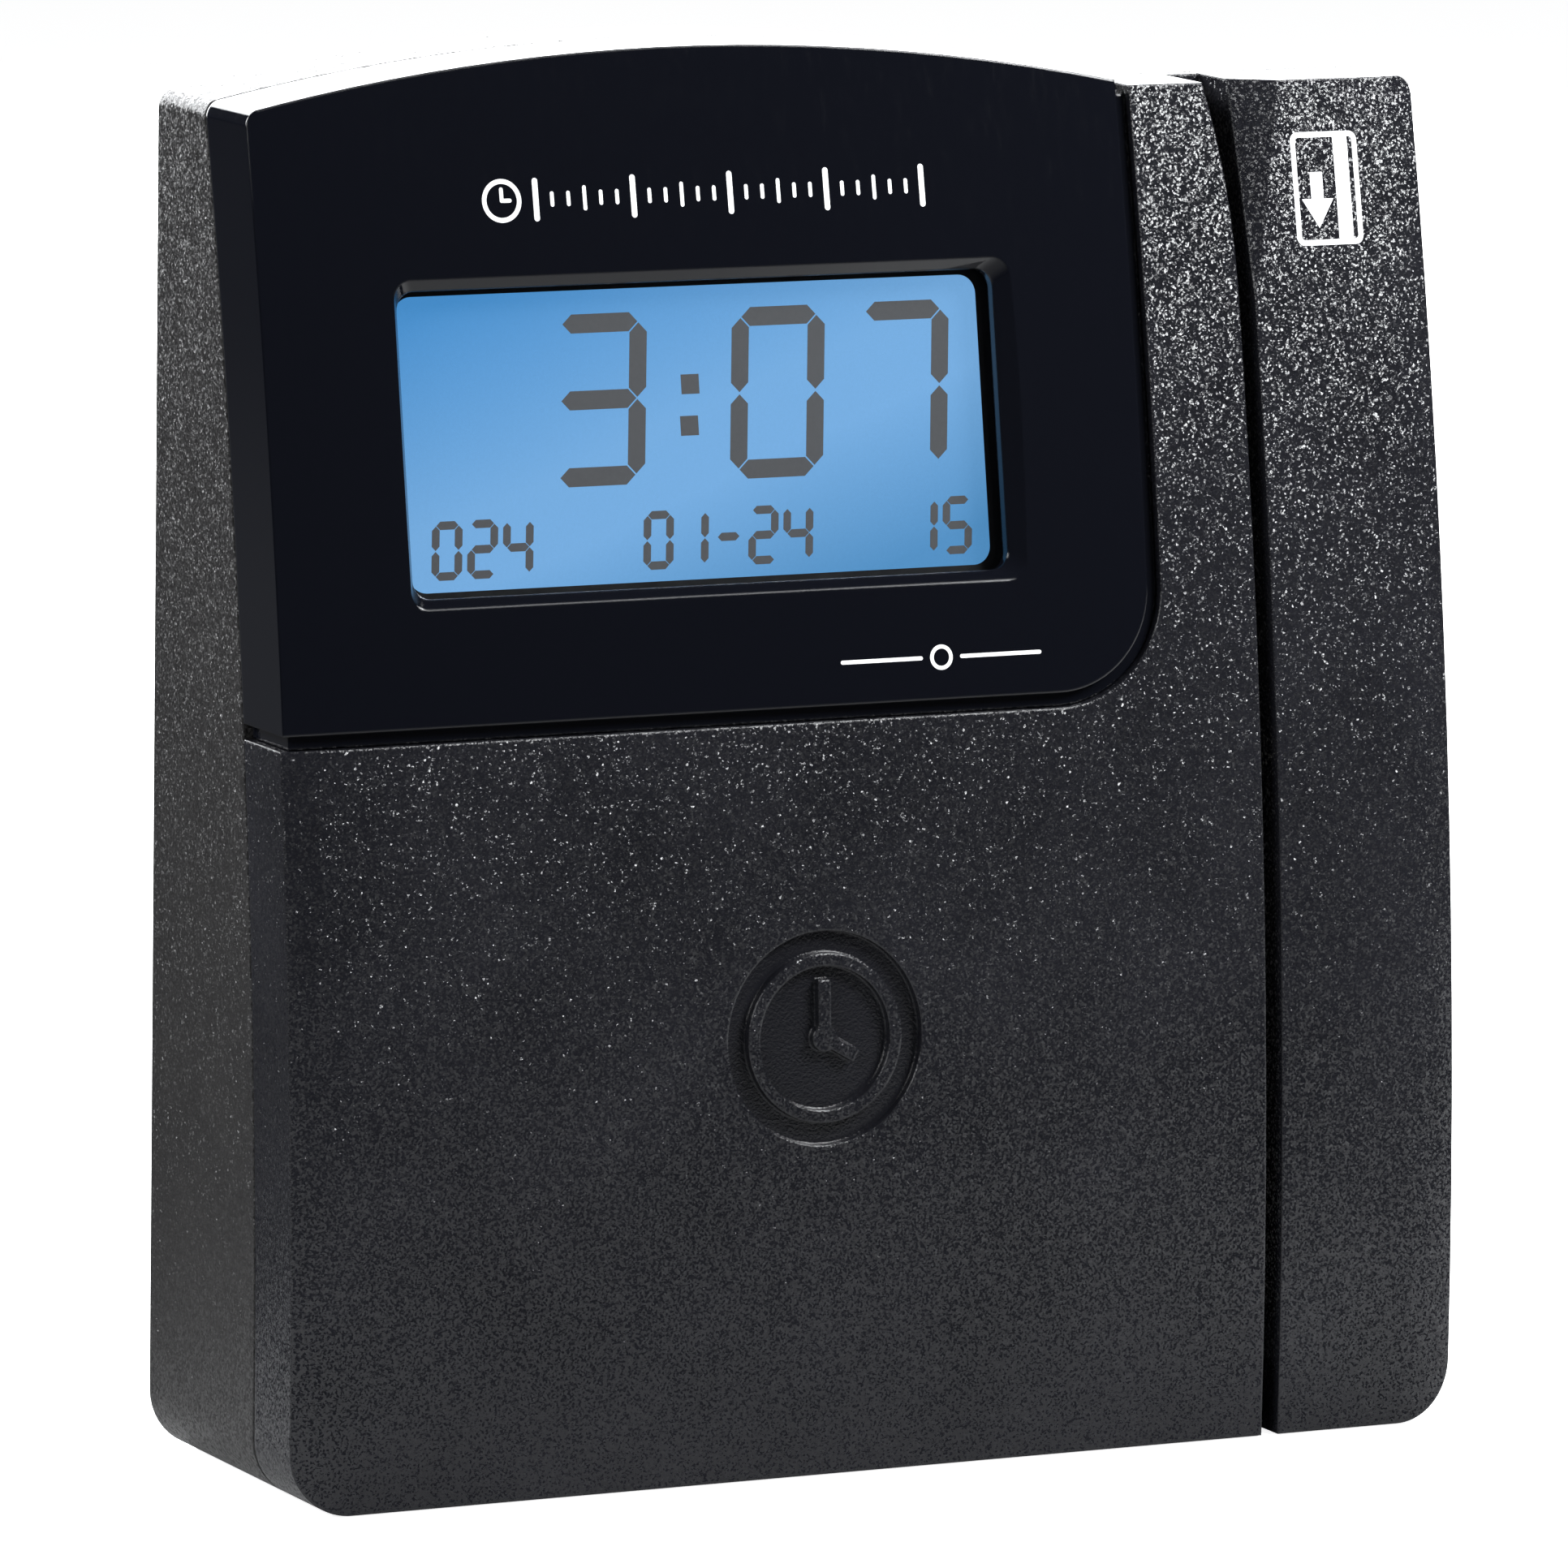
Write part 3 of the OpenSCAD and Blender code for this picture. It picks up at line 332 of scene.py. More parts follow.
def textured_case():
    """Black plastic with a coarse spark-eroded grain that sparkles.

    The sunk floor of the badge and the edges are smooth.
    """
    s = Shader("textured_case")
    badge_margin = 0.1 * MM
    floor_depth = 0.6 * MM
    badge_floor = s.math("MULTIPLY", s.near(BADGE_AT, BADGE_R + badge_margin), s.sunk(floor_depth))
    edges = s.edges(0.6 * MM)
    grain = s.math("SUBTRACT", 1, s.math("MAXIMUM", badge_floor, edges))
    cloud = s.ramp(s.noise(45, 3), (0.3, 0.0), (0.7, 1.0))
    s.drive("Base Color", s.mix(cloud, (0.007, 0.0072, 0.0095), (0.012, 0.0122, 0.0155)))
    worn = s.math("MULTIPLY", edges, 0.05)
    s.drive("Roughness", s.math("SUBTRACT", s.between(s.noise(700, 2), 0.14, 0.24), worn))
    tilt = s.math("MULTIPLY", grain, s.between(s.noise(900, 1), 0.28, 0.74))
    s.bump(s.noise(2600, 2, 0.6), 0.08 * MM, normal=s.facets(3600, tilt, s.rounded(0.5 * MM)))
    return s.material


def rear_shell():
    """The same plastic with a finer, duller grain."""
    s = Shader("rear_shell")
    s.drive("Base Color", s.mix(s.noise(60, 3), (0.014, 0.0135, 0.014), (0.022, 0.021, 0.021)))
    worn = s.math("MULTIPLY", s.edges(0.6 * MM), 0.12)
    s.drive("Roughness", s.math("SUBTRACT", s.between(s.noise(500, 2), 0.25, 0.37), worn))
    tilt = s.between(s.noise(1100, 1), 0.35, 0.85)
    s.bump(s.noise(2800, 2, 0.6), 0.1 * MM, normal=s.facets(3300, tilt, s.rounded(0.6 * MM)))
    return s.material


def gloss_black():
    """Polished black plastic with faint wiping streaks."""
    s = Shader("gloss_black")
    s.set(Base_Color=(0.0035, 0.004, 0.0065, 1), IOR=1.5)
    streaks = s.noise(1, 3, 0.6, s.stretched((900, 900, 18)))
    s.drive("Roughness", s.between(s.ramp(streaks, (0.45, 0.0), (0.75, 1.0)), 0.035, 0.11))
    s.bump(s.noise(28, 1), 0.05 * MM, 0.5, s.rounded(0.45 * MM))
    return s.material


def clear_pane():
    """Clear acrylic: shows what is behind it and mirrors a little, by Schlick's approximation."""
    s = Shader("clear_pane")
    clear = s.node("ShaderNodeBsdfTransparent")
    clear.inputs["Color"].default_value = (0.97, 0.985, 0.99, 1)
    gloss = s.node("ShaderNodeBsdfGlossy")
    s.link(s.between(s.noise(140, 4), 0.01, 0.05), gloss.inputs["Roughness"])
    schlick_power = 5
    grazing = s.math("POWER", s.node("ShaderNodeLayerWeight").outputs["Facing"], schlick_power)
    mirrored = s.math("ADD", s.math("MULTIPLY", grazing, 1 - PANE_MIRROR), PANE_MIRROR)
    mixed = s.node("ShaderNodeMixShader")
    s.link(mirrored, mixed.inputs["Fac"])
    s.link(clear.outputs["BSDF"], mixed.inputs[1])
    s.link(gloss.outputs["BSDF"], mixed.inputs[2])
    s.link(mixed.outputs["Shader"], s.tree.nodes["Material Output"].inputs["Surface"])
    return s.material


def lcd_blue():
    """Backlit display: blue, with a paler band of light across it and a fine cell pattern."""
    s = Shader("lcd_blue")
    lo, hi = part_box("lcd_glass")
    leftwards = s.along("X", hi.x, lo.x)
    upwards = s.along("Z", lo.z, hi.z)
    left_share = 0.42
    diagonal = s.math("ADD", s.math("MULTIPLY", leftwards, left_share),
                      s.math("MULTIPLY", upwards, 1 - left_share))
    soft = s.math("ADD", diagonal, s.between(s.noise(20, 2), -0.04, 0.04))
    blue = s.ramp(soft, (0.14, (0.09, 0.29, 0.57)), (0.4, (0.205, 0.45, 0.79)),
                  (0.53, (0.2, 0.445, 0.785)), (0.9, (0.07, 0.295, 0.65)))
    cell = s.between(s.noise(3200, 1), 0.91, 0.99)
    s.set(Base_Color=(0.01, 0.03, 0.06, 1), Roughness=0.25)
    s.drive("Emission Color", blue)
    s.drive("Emission Strength", cell)
    return s.material


# ---------- materials of the parts inside and behind ----------

def light_guide():
    """Milky acrylic with the dots that scatter the backlight."""
    s = Shader("light_guide")
    dots = s.ramp(s.cells(1400), (0.25, 1.0), (0.32, 0.0))
    s.set(Subsurface_Weight=0.4, IOR=1.49)
    s.drive("Base Color", s.mix(dots, (0.72, 0.78, 0.82), (0.92, 0.95, 0.97)))
    s.drive("Roughness", s.between(dots, 0.18, 0.6))
    s.bump(dots, 0.03 * MM)
    return s.material


def led():
    """Cast resin over a yellowish phosphor."""
    s = Shader("led")
    s.set(Transmission_Weight=0.3, Roughness=0.18, IOR=1.53)
    s.drive("Base Color", s.mix(s.noise(900, 3), (0.85, 0.78, 0.42), (0.95, 0.93, 0.8)))
    s.bump(s.noise(1500, 2), 0.02 * MM)
    return s.material


def foam_tape():
    """Closed-cell foam."""
    s = Shader("foam_tape")
    pores = s.cells(3200)
    s.drive("Base Color", s.mix(pores, (0.012, 0.012, 0.012), (0.04, 0.04, 0.04)))
    s.set(Roughness=0.92, IOR=1.4)
    s.bump(pores, 0.12 * MM)
    return s.material


def plain_moulding(name, dark, pale, rough, grain=2600, depth=0.04 * MM):
    """Moulded plastic: flow marks in its colour, a fine grain and slightly polished edges."""
    s = Shader(name)
    spread = 0.07
    flow = s.noise(1, 3, 0.5, s.stretched((60, 60, 240)))
    s.drive("Base Color", s.mix(flow, dark, pale))
    skin = s.between(s.noise(400, 2), rough - spread, rough + spread)
    polish = s.math("MULTIPLY", s.edges(0.2 * MM), 0.1)
    s.drive("Roughness", s.math("SUBTRACT", skin, polish))
    s.bump(s.noise(grain, 3), depth, normal=s.rounded(0.15 * MM))
    return s.material


def inner_plastic():
    """Dark grey frame that holds the display on its board."""
    return plain_moulding("inner_plastic", (0.05, 0.05, 0.055), (0.08, 0.08, 0.085), 0.45)


def black_plastic():
    """Power jack, sounder, cell holder and reset plunger."""
    return plain_moulding("black_plastic", (0.012, 0.012, 0.012), (0.022, 0.022, 0.023), 0.36)


def connector_plastic():
    """Cream nylon of the ribbon's sockets and the head's connector."""
    return plain_moulding("connector_plastic", (0.74, 0.7, 0.58), (0.82, 0.79, 0.68), 0.4)


def chip():
    """Moulded epoxy, with a sandy skin."""
    return plain_moulding("chip", (0.014, 0.014, 0.015), (0.03, 0.03, 0.032), 0.55, 3400, 0.08 * MM)


def contact_rubber():
    """Silicone strip with its thin conducting layers."""
    s = Shader("contact_rubber")
    layers = s.ramp(s.bands("X", 5000), (0.45, 0.0), (0.55, 1.0))
    s.drive("Base Color", s.mix(layers, (0.03, 0.03, 0.03), (0.78, 0.46, 0.5)))
    s.set(Roughness=0.6, IOR=1.41, Subsurface_Weight=0.1)
    s.bump(layers, 0.02 * MM)
    return s.material


def circuit_board():
    """Green solder mask over copper tracks, with tinned pads."""
    s = Shader("circuit_board")
    tracks = s.node("ShaderNodeTexBrick", offset=0.37, squash=1.7, squash_frequency=3)
    sizes = {"Scale": 190, "Mortar Size": 0.09, "Brick Width": 1.9, "Row Height": 0.42}
    for socket, value in sizes.items():
        tracks.inputs[socket].default_value = value
    s.link(s.upright(), tracks.inputs["Vector"])
    copper = s.ramp(tracks.outputs["Fac"], (0.3, 0.0), (0.6, 1.0))
    pads = s.ramp(s.cells(260), (0.13, 1.0), (0.16, 0.0))
    green = s.mix(copper, (0.008, 0.075, 0.032), (0.018, 0.14, 0.055))
    s.drive("Base Color", s.mix(pads, green, (0.72, 0.72, 0.7)))
    s.drive("Metallic", pads)
    s.drive("Roughness", s.between(s.noise(300, 2), 0.22, 0.34))
    s.bump(s.math("ADD", copper, pads), 0.03 * MM)
    return s.material


def capacitor_sleeve():
    """Shrunk dark sleeve with a pale stripe, and a bare aluminium end."""
    s = Shader("capacitor_sleeve")
    end = s.ramp(s.math("MULTIPLY", s.facing("Y"), -1), (0.85, 0.0), (0.92, 1.0))
    stripe = s.ramp(s.facing("X"), (0.86, 0.0), (0.88, 1.0))
    sleeve = s.mix(stripe, (0.012, 0.014, 0.035), (0.55, 0.56, 0.58))
    s.drive("Base Color", s.mix(end, sleeve, (0.78, 0.78, 0.79)))
    s.drive("Metallic", end)
    s.drive("Roughness", s.between(s.noise(600, 2), 0.2, 0.34))
    s.bump(s.noise(350, 2), 0.05 * MM, normal=s.rounded(0.4 * MM))
    return s.material


def plated(name, tint, cloud_tint, rough, stretch):
    """Plated metal: cloudy tint, fine drawn lines along one direction, brighter worn edges."""
    s = Shader(name)
    lines = s.noise(1, 3, 0.6, s.stretched(stretch))
    cloud = s.mix(s.noise(120, 4), tint, cloud_tint)
    s.drive("Base Color", s.mix(s.edges(0.2 * MM), cloud, (0.86, 0.86, 0.87)))
    s.set(Metallic=1.0)
    s.drive("Roughness", s.between(lines, rough - 0.08, rough + 0.12))
    s.bump(lines, 0.012 * MM, normal=s.rounded(0.15 * MM))
    return s.material


def steel():
    """Zinc-plated screws, spring, bracket and small cans, with lines along Z."""
    return plated("steel", (0.56, 0.57, 0.6), (0.66, 0.64, 0.58), 0.3, (2600, 2600, 160))


def socket_shell():
    """Tinned shells of the USB and network sockets, with lines along X."""
    return plated("socket_shell", (0.64, 0.64, 0.65), (0.72, 0.71, 0.68), 0.24, (160, 2400, 2400))


def head_shell():
    """Lapped metal of the read head, with lines along Y."""
    return plated("head_shell", (0.6, 0.57, 0.5), (0.68, 0.65, 0.58), 0.16, (2800, 120, 2800))


def ribbon():
    """Polyester film with flat conductors showing through it."""
    s = Shader("ribbon")
    wires = s.ramp(s.bands("X", 1000), (0.35, 0.0), (0.5, 1.0))
    s.drive("Base Color", s.mix(wires, (0.88, 0.88, 0.84), (0.5, 0.5, 0.5)))
    s.set(Roughness=0.28, IOR=1.6, Coat_Weight=0.3)
    s.bump(wires, 0.03 * MM)
    return s.material


def cable_jacket():
    """Soft vinyl with a slightly orange-peeled skin."""
    s = Shader("cable_jacket")
    s.drive("Base Color", s.mix(s.noise(500, 3), (0.03, 0.03, 0.033), (0.055, 0.055, 0.06)))
    s.drive("Roughness", s.between(s.noise(900, 2), 0.4, 0.6))
    s.bump(s.noise(1800, 2), 0.03 * MM)
    return s.material


# ---------- materials of the printed marks and the stage ----------

def white_ink():
    """Screen-printed ink, slightly mottled, with a faint painted glow that keeps it bright."""
    s = Shader("white_ink")
    s.drive("Base Color", s.mix(s.noise(1500, 3), (0.82, 0.83, 0.84), (0.95, 0.95, 0.95)))
    # painted glow: the ink shines faintly by itself, though it is no lamp
    s.set(Emission_Color=(1, 1, 1, 1), Emission_Strength=0.25)
    s.drive("Roughness", s.between(s.noise(2500, 2), 0.4, 0.6))
    s.bump(s.noise(3500, 2), 0.02 * MM)
    return s.material


def black_ink():
    """Black border printed on the back of the pane."""
    s = Shader("black_ink")
    s.drive("Base Color", s.mix(s.noise(2500, 2), (0.002, 0.002, 0.003), (0.005, 0.005, 0.006)))
    s.drive("Roughness", s.between(s.noise(1200, 2), 0.25, 0.4))
    s.bump(s.noise(3000, 2), 0.01 * MM)
    return s.material


def lcd_segment():
    """A switched-on segment: dark, with a little of the backlight leaking through."""
    s = Shader("lcd_segment")
    leak = s.noise(1600, 2)
    s.set(Base_Color=(0.02, 0.02, 0.022, 1), Roughness=0.35)
    s.drive("Emission Color", s.mix(leak, (0.06, 0.06, 0.063), (0.078, 0.078, 0.082)))
    s.set(Emission_Strength=1.0)
    s.bump(leak, 0.005 * MM)
    return s.material


def floor_material():
    """Pale sweep: near white to the camera, and dimmer in the part's own reflections, where it carries a
    painted pool of light in front of the part and painted shade behind it.
    """
    s = Shader("pale_floor")
    tint = s.mix(s.noise(3, 2), (0.8, 0.8, 0.8), (0.84, 0.84, 0.84))
    shown = s.node("ShaderNodeBsdfDiffuse")
    s.link(tint, shown.inputs["Color"])
    glow = s.node("ShaderNodeEmission")
    glow.inputs["Strength"].default_value = FLOOR_GLOW
    lit = s.node("ShaderNodeAddShader")
    s.link(shown.outputs["BSDF"], lit.inputs[0])
    s.link(glow.outputs["Emission"], lit.inputs[1])
    dim = s.node("ShaderNodeBsdfDiffuse")
    # painted pool of light and painted shade along Y, seen only in the part's reflections
    stops = [(place, share * FLOOR_DIM) for place, share in FLOOR_PAINTED_LIGHT_STOPS]
    s.link(s.ramp(s.along("Y", FLOOR_FRONT, FLOOR_BACK), *stops), dim.inputs["Color"])
    chosen = s.node("ShaderNodeMixShader")
    s.link(s.node("ShaderNodeLightPath").outputs["Is Camera Ray"], chosen.inputs["Fac"])
    s.link(dim.outputs["BSDF"], chosen.inputs[1])
    s.link(lit.outputs["Shader"], chosen.inputs[2])
    s.link(chosen.outputs["Shader"], s.tree.nodes["Material Output"].inputs["Surface"])
    return s.material


CAD_MATERIALS = {
    "textured_case": textured_case,
    "rear_shell": rear_shell,
    "gloss_black": gloss_black,
    "clear_pane": clear_pane,
    "lcd_blue": lcd_blue,
    "light_guide": light_guide,
    "led": led,
    "foam_tape": foam_tape,
    "inner_plastic": inner_plastic,
    "contact_rubber": contact_rubber,
    "circuit_board": circuit_board,
    "chip": chip,
    "capacitor_sleeve": capacitor_sleeve,
    "steel": steel,
    "socket_shell": socket_shell,
    "connector_plastic": connector_plastic,
    "black_plastic": black_plastic,
    "ribbon": ribbon,
    "cable_jacket": cable_jacket,
    "head_shell": head_shell,
}


def dress_cad_nodes():
    """Gives every CAD node the material made for the slot that it was packed with."""
    made = {slot: build() for slot, build in CAD_MATERIALS.items()}
    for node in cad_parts.values():
        for holder in node.material_slots:
            holder.material = made[holder.material.name]


# ---------- mesh helpers ----------

def add_piece(name, bm, material):
    """Turns a bmesh into a piece that rides on the clock."""
    bmesh.ops.recalc_face_normals(bm, faces=bm.faces)
    mesh = bpy.data.meshes.new(name)
    bm.to_mesh(mesh)
    bm.free()
    mesh.materials.append(material)
    piece = bpy.data.objects.new(name, mesh)
    bpy.context.scene.collection.objects.link(piece)
    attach(piece, BODY)


def rounded_rect(x0, z0, x1, z1, r, steps=8):
    """Points of a rounded rectangle, anticlockwise from its lower right corner."""
    corners = ((x1 - r, z0 + r, -90), (x1 - r, z1 - r, 0), (x0 + r, z1 - r, 90), (x0 + r, z0 + r, 180))
    points = []
    for x, z, start in corners:
        for i in range(steps + 1):
            a = math.radians(start + 90 * i / steps)
            points.append((x + r * math.cos(a), z + r * math.sin(a)))
    return points


def circle(x, z, r, steps=48):
    """Points of a circle, anticlockwise from its right."""
    turns = [2 * math.pi * i / steps for i in range(steps)]
    return [(x + r * math.cos(a), z + r * math.sin(a)) for a in turns]


def add_patch(bm, outline):
    """A flat patch in the XZ plane."""
    bm.faces.new([bm.verts.new((x, 0, z)) for x, z in outline])


def add_box(bm, x0, z0, x1, z1):
    """A flat rectangle."""
    add_patch(bm, [(x0, z0), (x1, z0), (x1, z1), (x0, z1)])


def add_ring(bm, outer, inner):
    """A flat ring between two outlines with equally many points."""
    out = [bm.verts.new((x, 0, z)) for x, z in outer]
    into = [bm.verts.new((x, 0, z)) for x, z in inner]
    for i in range(len(out)):
        j = (i + 1) % len(out)
        bm.faces.new((out[i], out[j], into[j], into[i]))


def add_bar(bm, x0, z0, x1, z1, width):
    """A straight bar with rounded ends, from one point to another."""
    length = math.hypot(x1 - x0, z1 - z0)
    turn = math.atan2(z1 - z0, x1 - x0)
    r = width / 2
    corner_r = 0.98 * r  # a little under half the width, so that no two points fall together
    flat = rounded_rect(-r, -r, length + r, r, corner_r, 5)
    cos, sin = (math.cos(turn), math.sin(turn))
    add_patch(bm, [(x0 + x * cos - z * sin, z0 + x * sin + z * cos) for x, z in flat])


def thicken(bm, way, thickness):
    """Extrudes a flat drawing along a direction."""
    grown = bmesh.ops.extrude_face_region(bm, geom=bm.faces[:])
    moved = [item for item in grown["geom"] if isinstance(item, bmesh.types.BMVert)]
    bmesh.ops.translate(bm, verts=moved, vec=Vector(way) * thickness)


def drape(bm, node):
    """Lays a drawing in the XZ plane on the front of a CAD node, a hair into its surface.

    It is cut into level strips first, so that it can follow the front's curve.
    """
    strip = 1 * MM
    high = max(v.co.z for v in bm.verts)
    height = min(v.co.z for v in bm.verts) + strip
    while height < high:
        everything = bm.verts[:] + bm.edges[:] + bm.faces[:]
        bmesh.ops.bisect_plane(bm, geom=everything, plane_co=(0, 0, height), plane_no=(0, 0, 1))
        height += strip
    surface = BVHTree.FromObject(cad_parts[node], bpy.context.evaluated_depsgraph_get())
    for vert in bm.verts:
        hit = surface.ray_cast(Vector((vert.co.x, -1, vert.co.z)), Vector((0, 1, 0)))[0]
        vert.co.y = hit.y + INK_SUNK
    thicken(bm, (0, -1, 0), INK_T + INK_SUNK)


def front_plane(node):
    """Frame on the middle of a flat CAD part's front: X across, Y into the part, Z up along it."""
    same_way = 0.999
    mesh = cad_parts[node].data
    face = min(mesh.polygons, key=lambda polygon: polygon.normal.y * polygon.area)
    inwards = -face.normal
    front = [p for p in mesh.polygons if p.normal.dot(face.normal) > same_way]
    corners = [mesh.vertices[i].co for p in front for i in p.vertices]
    box_low = Vector(min(c[i] for c in corners) for i in range(3))
    box_high = Vector(max(c[i] for c in corners) for i in range(3))
    centre = (box_low + box_high) / 2
    across = Vector((1, 0, 0))
    turned = Matrix((across, inwards, across.cross(inwards))).transposed()
    return Matrix.Translation(centre) @ turned.to_4x4()


# ---------- display ----------

# Segments of each symbol: a at the top, then clockwise b to f, and g across the middle
SEGMENTS = {"0": "abcdef", "1": "bc", "2": "abged", "3": "abgcd", "4": "fgbc", "5": "afgcd", "7": "abc",
            "-": "g"}


def segment_outline(name, width, height, stroke):
    """Six-cornered bar of one segment, about the middle of its digit."""
    gap = 0.06 * stroke
    half = stroke / 2
    x = width / 2 - half
    z = height / 2 - half
    ends = {"a": (-x, z, x, z), "g": (-x, 0, x, 0), "d": (-x, -z, x, -z), "f": (-x, 0, -x, z),
            "b": (x, 0, x, z), "e": (-x, -z, -x, 0), "c": (x, -z, x, 0)}
    x0, z0, x1, z1 = ends[name]
    if z0 == z1:
        left = x0 + gap
        right = x1 - gap
        return [(left, z0), (left + half, z0 - half), (right - half, z0 - half), (right, z0),
                (right - half, z0 + half), (left + half, z0 + half)]
    low = z0 + gap
    top = z1 - gap
    return [(x0, low), (x0 + half, low + half), (x0 + half, top - half), (x0, top),
            (x0 - half, top - half), (x0 - half, low + half)]


def add_digit(bm, symbol, x, z, width, height, stroke):
    """One slanted seven-segment symbol about a point of the glass."""
    for name in SEGMENTS[symbol]:
        outline = segment_outline(name, width, height, stroke)
        add_patch(bm, [(x + u + v * math.tan(DIGIT_SLANT), z + v) for u, v in outline])


def lcd_segments(ink):
    """Time in large figures over a row of small ones: day of the year, month and day, hour."""
    bm = bmesh.new()
    for symbol, right in TIME_FIGURES:
        middle = right - DIGIT_WIDTH / 2
        add_digit(bm, symbol, middle, TIME_Z, DIGIT_WIDTH, DIGIT_HEIGHT, DIGIT_STROKE)
    for z in COLON_Z:
        x = COLON_X + (z - sum(COLON_Z) / 2) * math.tan(DIGIT_SLANT)
        add_box(bm, x - COLON_DOT / 2, z - COLON_DOT / 2, x + COLON_DOT / 2, z + COLON_DOT / 2)
    for figures, right in DATE_FIGURES:
        for place, symbol in enumerate(reversed(figures)):
            middle = right - SMALL_WIDTH / 2 - place * SMALL_PITCH
            add_digit(bm, symbol, middle, DATE_Z, SMALL_WIDTH, SMALL_HEIGHT, SMALL_STROKE)
    thicken(bm, (0, -1, 0), INK_T)
    bm.transform(front_plane("lcd_glass"))
    add_piece("lcd_segments", bm, ink)


def window_border(ink):
    """Black border on the back of the pane, with a round-cornered opening."""
    lo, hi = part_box("display_window")
    side_margin = 0.2 * MM
    end_margin = 1.0 * MM
    outer_r = 0.5 * MM
    half_w = (hi.x - lo.x) / 2 - side_margin
    half_h = (hi.z - lo.z) / 2 - end_margin
    bm = bmesh.new()
    add_ring(bm, rounded_rect(-half_w, -half_h, half_w, half_h, outer_r),
             rounded_rect(*BORDER_OPENING, BORDER_OPENING_R))
    thicken(bm, (0, 1, 0), INK_T)
    bm.transform(front_plane("display_window") @ Matrix.Translation((0, PANE_T, 0)))
    add_piece("window_border", bm, ink)


# ---------- printed marks ----------

def card_mark(ink):
    """Outline of a card with its stripe, and an arrow down, beside the slot's mouth."""
    x0, z0, x1, z1 = (63.6 * MM, 53.2 * MM, 73.3 * MM, 67.6 * MM)
    line = 0.7 * MM
    outer_r = 1.1 * MM
    inner_r = 0.5 * MM
    stripe_x = 69.8 * MM
    stripe_w = 2.1 * MM
    arrow_x = 67.0 * MM
    tail_z = 62.5 * MM
    head_z = 59.1 * MM
    tip_z = 55.4 * MM
    shaft = 0.9 * MM
    head = 2.3 * MM
    bm = bmesh.new()
    add_ring(bm, rounded_rect(x0, z0, x1, z1, outer_r),
             rounded_rect(x0 + line, z0 + line, x1 - line, z1 - line, inner_r))
    add_box(bm, stripe_x, z0 + line, stripe_x + stripe_w, z1 - line)
    left_half = [(-shaft, tail_z), (-shaft, head_z), (-head, head_z), (0, tip_z)]
    right_half = [(-u, v) for u, v in reversed(left_half[:-1])]
    add_patch(bm, [(arrow_x + u, v) for u, v in left_half + right_half])
    drape(bm, "front_cover")
    add_piece("card_mark", bm, ink)


def add_clock_glyph(bm, x, z, hand_w):
    """Ring with two hands, about a point."""
    r = 2.7 * MM
    line = 0.6 * MM
    minute_hand = 1.4 * MM
    hour_hand_start = 0.3 * MM
    hour_hand_end = 1.1 * MM
    add_ring(bm, circle(x, z, r), circle(x, z, r - line))
    add_bar(bm, x, z, x, z + minute_hand, hand_w)
    add_bar(bm, x + hour_hand_start, z, x + hour_hand_end, z, hand_w)


def tick_reach(place):
    """How far a tick reaches above and below the middle of the scale."""
    if place % LONG_EVERY == 0:
        return LONG_TICK
    if place % MIDDLE_EVERY == 0:
        return MIDDLE_TICK
    return SHORT_TICK


def hour_scale(ink):
    """Clock glyph with a scale of hour ticks beside it, above the display."""
    z = 62.7 * MM
    glyph_x = -48.6 * MM
    thin = 0.5 * MM
    bold = 0.75 * MM
    scale_x = -43.9 * MM
    scale_w = 54.0 * MM
    bm = bmesh.new()
    add_clock_glyph(bm, glyph_x, z, thin)
    for i in range(TICKS + 1):
        reach = tick_reach(i)
        x = scale_x + i * scale_w / TICKS
        add_bar(bm, x, z - reach, x, z + reach, bold if reach == LONG_TICK else thin)
    drape(bm, "display_bezel")
    add_piece("hour_scale", bm, ink)


def lower_mark(ink):
    """Thin rule broken by a small ring, under the display."""
    x = 9.0 * MM
    z = 3.5 * MM
    ring_r = 1.6 * MM
    line = 0.5 * MM
    rule_start = 2.9 * MM
    rule_end = 14.0 * MM
    bm = bmesh.new()
    add_ring(bm, circle(x, z, ring_r), circle(x, z, ring_r - line))
    for side in (-1, 1):
        add_bar(bm, x + side * rule_start, z, x + side * rule_end, z, line)
    drape(bm, "display_bezel")
    add_piece("lower_mark", bm, ink)


# ---------- stage ----------

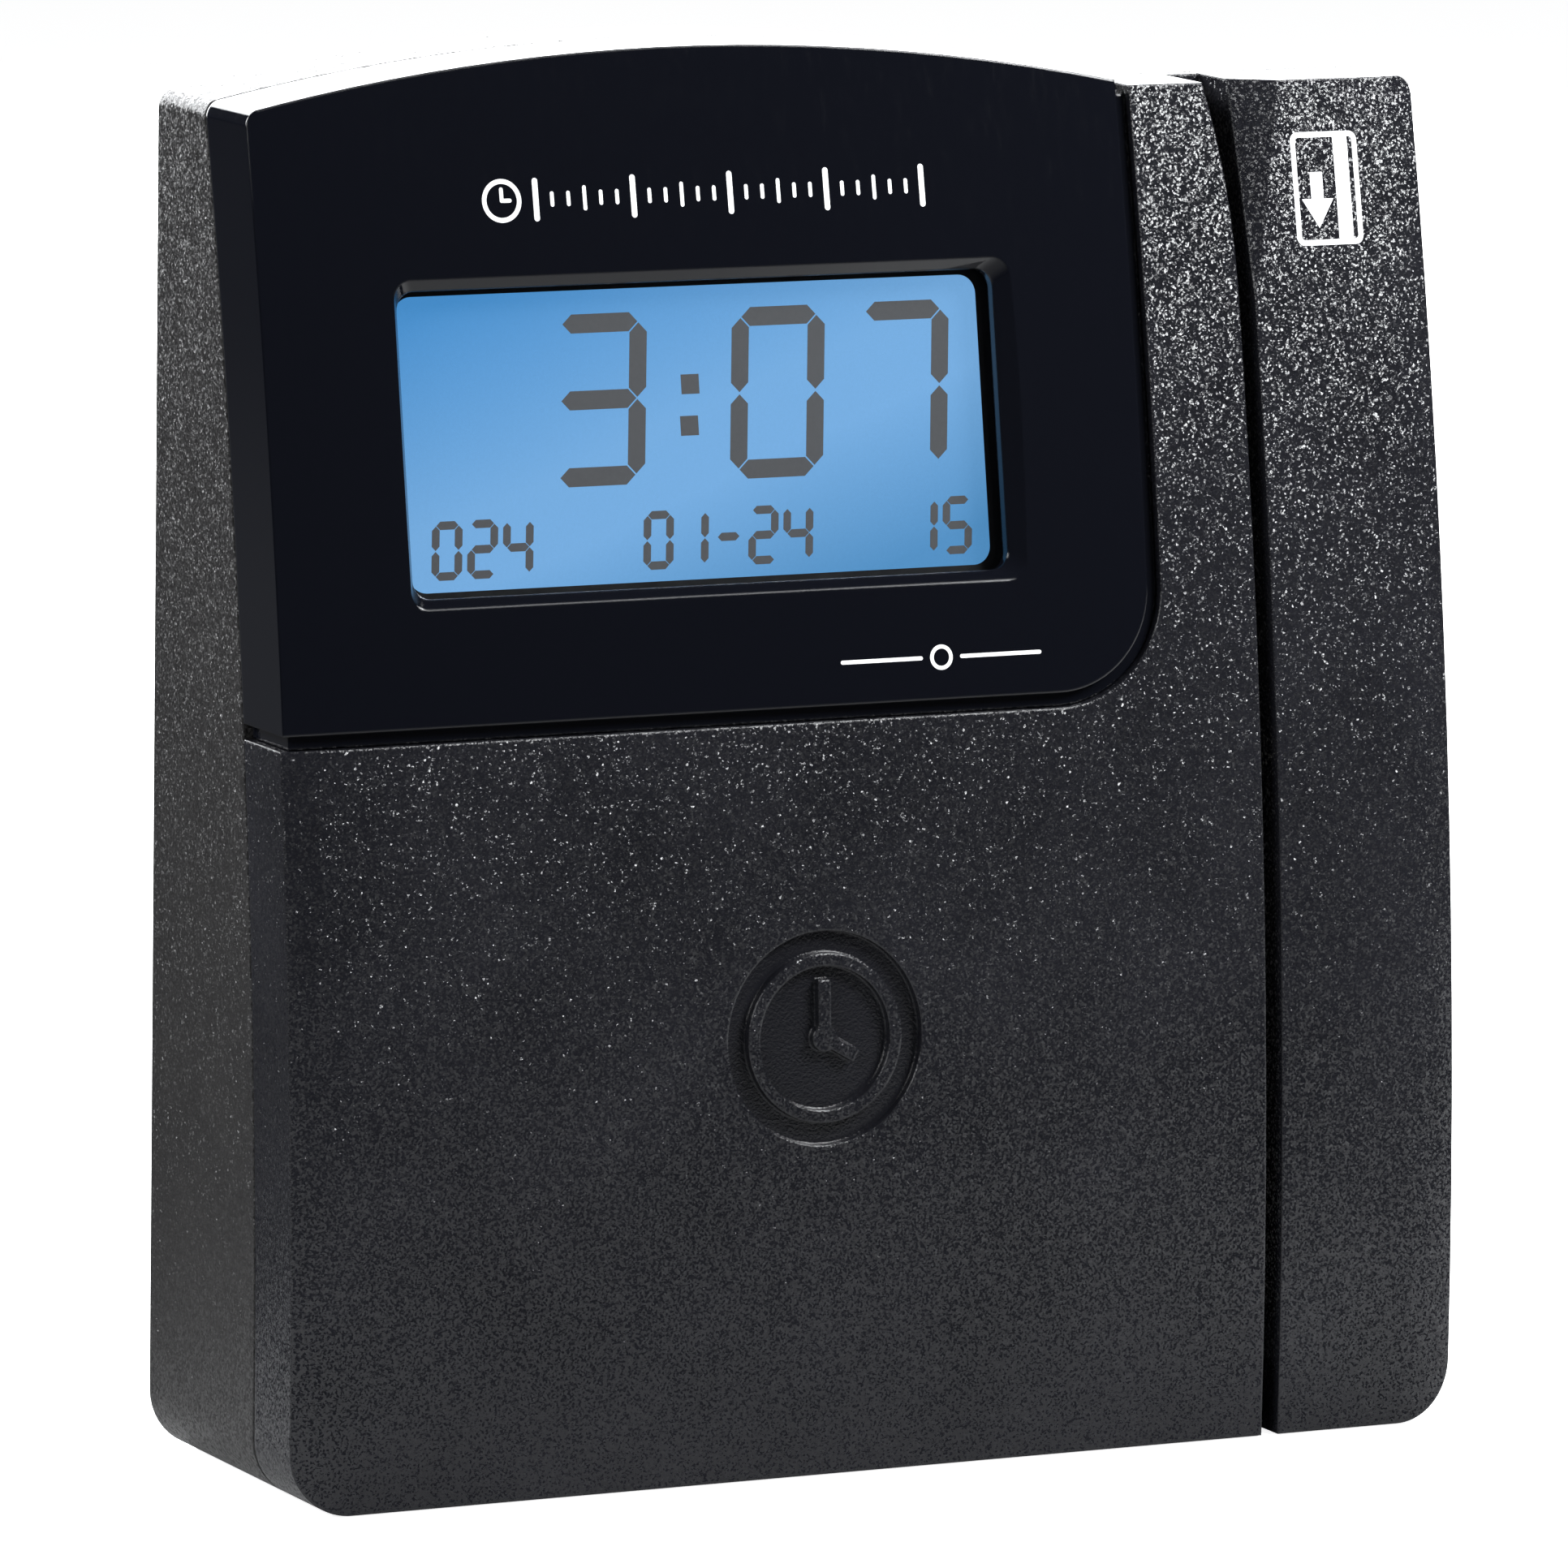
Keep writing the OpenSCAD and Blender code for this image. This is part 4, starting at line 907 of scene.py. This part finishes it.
def add_floor():
    """Large pale floor just under the part."""
    height = cad_box[0].z - FLOOR_GAP
    bm = bmesh.new()
    bmesh.ops.create_grid(bm, x_segments=8, y_segments=8, size=FLOOR_SIDE / 2)
    bmesh.ops.translate(bm, verts=bm.verts, vec=(0, 0, height))
    mesh = bpy.data.meshes.new("floor")
    bm.to_mesh(mesh)
    bm.free()
    mesh.materials.append(floor_material())
    floor = bpy.data.objects.new("floor", mesh)
    bpy.context.scene.collection.objects.link(floor)


def add_softbox(name, direction, distance, size, power):
    """Soft rectangular light that faces the part from a direction."""
    data = bpy.data.lights.new(name, "AREA")
    data.shape = "RECTANGLE"
    data.size, data.size_y = size
    data.energy = power
    data.color = LIGHT_TINT
    light = bpy.data.objects.new(name, data)
    way = Vector(direction).normalized()
    light.location = way * distance
    light.rotation_mode = "QUATERNION"
    light.rotation_quaternion = way.to_track_quat("Z", "Y")
    light.visible_camera = False
    bpy.context.scene.collection.objects.link(light)


def add_world():
    """Even, dim surroundings that fill the shadows."""
    world = bpy.data.worlds.new("studio")
    world.use_nodes = True
    background = world.node_tree.nodes["Background"]
    background.inputs["Color"].default_value = (*WORLD_TINT, 1)
    background.inputs["Strength"].default_value = WORLD_STRENGTH
    bpy.context.scene.world = world


def add_camera():
    """Camera at the picture's viewing angle."""
    data = bpy.data.cameras.new("camera")
    data.lens = CAMERA_LENS
    data.clip_end = CAMERA_FAR
    camera = bpy.data.objects.new("camera", data)
    turned = (Matrix.Rotation(math.radians(CAMERA_AZIMUTH), 4, "Z")
              @ Matrix.Rotation(math.radians(90 - CAMERA_ELEVATION), 4, "X")
              @ Matrix.Rotation(math.radians(CAMERA_ROLL), 4, "Z"))
    back = turned.col[2].to_3d()
    camera.matrix_world = Matrix.Translation(Vector(CAMERA_TARGET) + back * CAMERA_DISTANCE) @ turned
    bpy.context.scene.collection.objects.link(camera)
    bpy.context.scene.camera = camera


add_camera()
add_world()
for softbox in LIGHTS:
    add_softbox(*softbox)
add_floor()

dress_cad_nodes()
marks = white_ink()
card_mark(marks)
hour_scale(marks)
lower_mark(marks)
lcd_segments(lcd_segment())
window_border(black_ink())

bpy.context.scene.view_settings.view_transform = "Standard"
